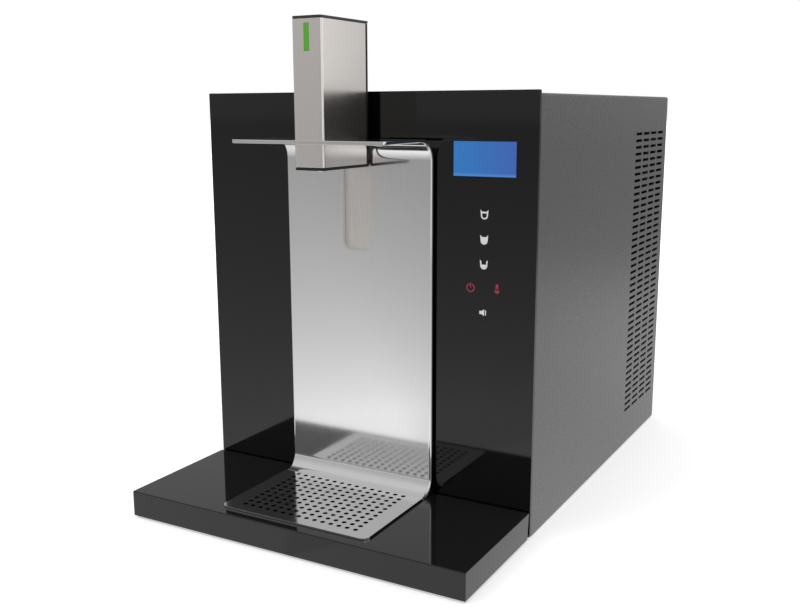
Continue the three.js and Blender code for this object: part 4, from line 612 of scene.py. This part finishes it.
MATERIALS = {
    "painted_steel": powder_coated_steel(),
    "black_glass": back_printed_glass(),
    "display_glass": lit_display_window(),
    "galvanised_steel": zinc_coated_steel(),
    "black_painted_steel": black_powder_coat(),
    "polished_stainless": bright_rolled_stainless(),
    "brushed_stainless": brushed_stainless(),
    "black_rubber": moulded_rubber(),
    "black_gloss_plastic": gloss_abs(),
    "black_matt_plastic": textured_abs(),
    "dark_cap_plastic": satin_cap_abs(),
    "white_plastic": white_acetal(),
    "green_light": lit_acrylic(),
    "green_board": circuit_board(),
    "chrome_nozzle": plated_brass(),
    "ground_rod": ground_steel(),
    "black_iron": enamelled_can(),
    "copper": drawn_copper(),
    "dark_fins": coated_fins(),
    "foam": foam_with_painted_groove_shade(),
    "stainless_vessel": drawn_stainless(),
    "blue_hose": polyethylene_hose(),
}


def dress_nodes():
    for name, node in nodes.items():
        node.data.materials.clear()
        node.data.materials.append(MATERIALS[SLOT_OF[name]])


# Pieces finished from the frame's own shapes

def soften(name, edge):
    """Stands for a CAD node with the same shape, its edges eased and its bends shaded smooth"""
    piece = bpy.data.objects.new(name + "_finish", nodes[name].data.copy())
    bpy.context.scene.collection.objects.link(piece)
    edit(piece)
    bpy.ops.mesh.select_all(action="SELECT")
    bpy.ops.mesh.remove_doubles(threshold=0.002 * MM)
    bpy.ops.mesh.dissolve_limited(angle_limit=math.radians(0.5))
    leave_edit()
    apply_modifier(piece, "BEVEL", width=edge, segments=2, limit_method="ANGLE", angle_limit=SMOOTH_BELOW,
                   use_clamp_overlap=True)
    activate(piece)
    bpy.ops.object.shade_smooth_by_angle(angle=SMOOTH_BELOW)
    apply_modifier(piece, "WEIGHTED_NORMAL", keep_sharp=True)
    slot = SLOT_OF[name]
    return settle(piece, name + "_finish", MATERIALS[slot], BODY_OF[name], [name])


# Drip grille

def grille_cell(place):
    """One square of the sheet with its round hole"""
    bpy.ops.mesh.primitive_plane_add(size=HOLE_PITCH, location=place)
    cell = bpy.context.object
    bpy.ops.object.mode_set(mode="EDIT")
    bpy.ops.mesh.delete(type="ONLY_FACE")
    bpy.ops.mesh.select_all(action="SELECT")
    bpy.ops.mesh.subdivide(number_cuts=HOLE_CUTS)
    bpy.ops.mesh.primitive_circle_add(vertices=4 * (HOLE_CUTS + 1), radius=HOLE_RADIUS, location=place,
                                      rotation=(0, 0, math.radians(45)))
    bpy.ops.mesh.select_all(action="SELECT")
    bpy.ops.mesh.bridge_edge_loops()
    leave_edit()
    activate(cell)
    bpy.ops.object.transform_apply(location=True, rotation=True, scale=True)
    return cell


def extend_rim(piece, test, move):
    pick(piece, "EDGE", test)
    bpy.ops.mesh.extrude_edges_move(TRANSFORM_OT_translate={"value": move})


def make_grille():
    low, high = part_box("drip_grille")
    first_x = -(HOLE_COLUMNS - 1) / 2 * HOLE_PITCH
    first_y = low.y + HOLE_MARGIN
    grille = grille_cell((first_x, first_y, high.z))
    for count, way in ((HOLE_COLUMNS, (HOLE_PITCH, 0, 0)), (HOLE_ROWS, (0, HOLE_PITCH, 0))):
        apply_modifier(grille, "ARRAY", count=count, use_relative_offset=False, use_constant_offset=True,
                       constant_offset_displace=way, use_merge_vertices=True, merge_threshold=0.01 * MM)
    left = first_x - HOLE_PITCH / 2
    front = first_y - HOLE_PITCH / 2
    rear = front + HOLE_ROWS * HOLE_PITCH
    near = 0.02 * MM
    edit(grille)
    extend_rim(grille, lambda p: p.x < left + near, (low.x - left, 0, 0))
    extend_rim(grille, lambda p: p.x > -left - near, (high.x + left, 0, 0))
    extend_rim(grille, lambda p: p.y < front + near, (0, low.y - front, 0))
    extend_rim(grille, lambda p: p.y > rear - near, (0, high.y - rear, 0))
    for corner, radius in ((low.y, GRILLE_FRONT_CORNER), (high.y, GRILLE_REAR_CORNER)):
        pick(grille, "VERT", lambda p: abs(p.y - corner) < near and abs(abs(p.x) - high.x) < near)
        bpy.ops.mesh.bevel(offset=radius, segments=7, affect="VERTICES")
    bpy.ops.mesh.select_all(action="SELECT")
    bpy.ops.mesh.normals_make_consistent(inside=False)
    bpy.ops.mesh.select_all(action="DESELECT")
    bpy.ops.mesh.select_mode(type="EDGE")
    bpy.ops.mesh.select_non_manifold(extend=False)
    leave_edit()
    for edge in grille.data.edges:
        ends = [grille.data.vertices[i].co for i in edge.vertices]
        hole = all(abs(p.x) < -left - near and front + near < p.y < rear - near for p in ends)
        back = all(p.y > high.y - near for p in ends)
        edge.select = edge.select and not hole and not back
    bpy.ops.object.mode_set(mode="EDIT")
    bpy.ops.mesh.extrude_edges_move(TRANSFORM_OT_translate={"value": (0, 0, low.z - high.z)})
    leave_edit()
    apply_modifier(grille, "BEVEL", width=GRILLE_EDGE, segments=5, limit_method="ANGLE",
                   angle_limit=math.radians(60))
    apply_modifier(grille, "SOLIDIFY", thickness=GRILLE_STEEL, offset=-1.0, use_even_offset=True)
    apply_modifier(grille, "BEVEL", width=HOLE_EDGE, segments=2, limit_method="ANGLE",
                   angle_limit=math.radians(50))
    activate(grille)
    bpy.ops.object.shade_smooth_by_angle(angle=SMOOTH_BELOW)
    apply_modifier(grille, "WEIGHTED_NORMAL", keep_sharp=True)
    slot = "polished_stainless"
    return settle(grille, "perforated_grille", MATERIALS[slot], "grille", ["drip_grille"])


# Symbols on the glass

def flat_plane(x, z, width, height):
    """A flat rectangle that faces the front, just clear of the glass"""
    bpy.ops.mesh.primitive_plane_add(size=1, location=(x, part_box("front_panel")[0].y - PRINT_LIFT, z),
                                     rotation=(math.radians(90), 0, 0))
    plane = bpy.context.object
    plane.scale = (width, height, 1)
    bpy.ops.object.transform_apply(location=True, rotation=True, scale=True)
    return plane


def flat_ring(x, z, radius, stroke):
    """A flat ring that faces the front, bridged from its outer to its inner edge"""
    turn = (math.radians(90), 0, 0)
    place = (x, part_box("front_panel")[0].y - PRINT_LIFT, z)
    bpy.ops.mesh.primitive_circle_add(vertices=40, radius=radius, rotation=turn, location=place)
    ring = bpy.context.object
    bpy.ops.object.mode_set(mode="EDIT")
    bpy.ops.mesh.primitive_circle_add(vertices=40, radius=radius - stroke, rotation=turn, location=place)
    bpy.ops.mesh.select_all(action="SELECT")
    bpy.ops.mesh.bridge_edge_loops()
    bpy.ops.mesh.select_all(action="SELECT")
    bpy.ops.mesh.flip_normals()
    leave_edit()
    bpy.ops.object.transform_apply(location=True, rotation=True, scale=True)
    return ring


def make_cup(index, x, z, drink):
    """A tumbler seen from the side: open top, round foot, and its drink as a patch between two heights"""
    half = SYMBOL_SIZE / 2
    cup = flat_plane(x, z, SYMBOL_SIZE * 0.9, SYMBOL_SIZE)
    edit(cup)
    pick(cup, "VERT", lambda p: p.z < z)
    bpy.ops.transform.resize(value=(0.82, 1, 1), center_override=(x, 0, z))
    bpy.ops.mesh.bevel(offset=SYMBOL_SIZE * 0.34, segments=6, affect="VERTICES")
    bpy.ops.mesh.select_mode(type="FACE")
    bpy.ops.mesh.select_all(action="SELECT")
    bpy.ops.mesh.inset(thickness=SYMBOL_STROKE)
    bpy.ops.mesh.delete(type="FACE")
    pick(cup, "FACE", lambda p: p.z > z + half - 1.5 * SYMBOL_STROKE)
    bpy.ops.mesh.delete(type="FACE")
    leave_edit()
    low, high = (z - half + SYMBOL_SIZE * share for share in drink)
    patch = flat_plane(x, (low + high) / 2, SYMBOL_SIZE * 0.56, high - low)
    return settle(join_pieces([cup, patch]), "cup_symbol_%d" % (index + 1), SYMBOL_WHITE, "cabinet")


def make_power_symbol(x, z):
    ring = flat_ring(x, z, SYMBOL_SIZE * 0.48, SYMBOL_STROKE * 0.8)
    edit(ring)
    pick(ring, "FACE", lambda p: p.z > z and abs(p.x - x) < SYMBOL_SIZE * 0.2)
    bpy.ops.mesh.delete(type="FACE")
    leave_edit()
    stroke = flat_plane(x, z + SYMBOL_SIZE * 0.28, SYMBOL_STROKE * 0.8, SYMBOL_SIZE * 0.52)
    return settle(join_pieces([ring, stroke]), "power_symbol", SYMBOL_RED, "cabinet")


def make_heat_symbol(x, z):
    """A thermometer: a bulb and a stem with a round end"""
    bulb = flat_ring(x, z - SYMBOL_SIZE * 0.26, SYMBOL_SIZE * 0.26, SYMBOL_SIZE * 0.25)
    stem = flat_plane(x, z + SYMBOL_SIZE * 0.15, SYMBOL_STROKE * 2, SYMBOL_SIZE * 0.64)
    edit(stem)
    pick(stem, "VERT", lambda p: p.z > z)
    bpy.ops.mesh.bevel(offset=SYMBOL_STROKE * 0.7, segments=5, affect="VERTICES")
    leave_edit()
    return settle(join_pieces([bulb, stem]), "heat_symbol", SYMBOL_RED, "cabinet")


def make_sound_symbol(x, z):
    """A loudspeaker: its magnet and its cone, with a stroke beside it for silence"""
    magnet = flat_plane(x - SYMBOL_SIZE * 0.3, z, SYMBOL_SIZE * 0.26, SYMBOL_SIZE * 0.34)
    cone = flat_plane(x - SYMBOL_SIZE * 0.03, z, SYMBOL_SIZE * 0.3, SYMBOL_SIZE * 0.34)
    edit(cone)
    pick(cone, "VERT", lambda p: p.x > x)
    bpy.ops.transform.resize(value=(1, 1, 2.1), center_override=(x, 0, z))
    leave_edit()
    stroke = flat_plane(x + SYMBOL_SIZE * 0.28, z, SYMBOL_STROKE * 0.7, SYMBOL_SIZE * 0.55)
    return settle(join_pieces([magnet, cone, stroke]), "sound_symbol", SYMBOL_WHITE, "cabinet")


def make_symbols():
    for index, (z, drink) in enumerate(zip(CUP_HEIGHTS, CUP_DRINKS)):
        make_cup(index, CUP_X, z, drink)
    make_power_symbol(*POWER_PLACE)
    make_heat_symbol(*HEAT_PLACE)
    make_sound_symbol(*SOUND_PLACE)


# Screws of the rear panel

def make_screw():
    """A pan head with a cross slot, pointing to the rear"""
    bpy.ops.mesh.primitive_cylinder_add(vertices=24, radius=SCREW_RADIUS, depth=SCREW_HEIGHT)
    screw = bpy.context.object
    edit(screw)
    pick(screw, "EDGE", lambda p: p.z > 0)
    bpy.ops.mesh.bevel(offset=SCREW_ROUND, segments=4, affect="EDGES")
    leave_edit()
    for turn in (0, math.radians(90)):
        bpy.ops.mesh.primitive_cube_add(size=1, location=(0, 0, SCREW_HEIGHT / 2), rotation=(0, 0, turn))
        slot = bpy.context.object
        slot.scale = (SCREW_SLOT_LENGTH, SCREW_SLOT, 2 * SCREW_SLOT_DEPTH)
        apply_modifier(screw, "BOOLEAN", operation="DIFFERENCE", object=slot)
        bpy.data.objects.remove(slot)
    activate(screw)
    bpy.ops.object.shade_smooth_by_angle(angle=SMOOTH_BELOW)
    screw.rotation_euler = (math.radians(-90), 0, 0)
    bpy.ops.object.transform_apply(location=True, rotation=True, scale=True)
    return screw


def make_screws():
    low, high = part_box("rear_panel")
    side = high.x - SCREW_SIDE
    middle = (low.z + high.z) / 2
    heights = (low.z + 4 * SCREW_SIDE, middle, high.z - 2 * SCREW_SIDE)
    places = [(x, z) for x in (-side, side) for z in heights]
    places.append((0, high.z - SCREW_SIDE))
    model = make_screw()
    screws = [model]
    for _ in places[1:]:
        activate(model)
        bpy.ops.object.duplicate()
        screws.append(bpy.context.object)
    for index, (screw, (x, z)) in enumerate(zip(screws, places)):
        screw.location = (x, high.y + SCREW_HEIGHT / 2, z)
        settle(screw, "rear_screw_%d" % (index + 1), SCREW_METAL, "cabinet")


SYMBOL_WHITE = symbol_print("white_lit_symbol", "#cccccc", 0.34)
SYMBOL_RED = symbol_print("red_lit_symbol", "#932a40", 0.28)
SCREW_METAL = zinc_plated_screw()

bpy.context.scene.view_settings.view_transform = "Standard"
make_camera()
make_floor()
make_world()
make_lamps()
dress_nodes()
for name, edge in EASED_EDGES.items():
    soften(name, edge)
make_grille()
make_symbols()
make_screws()
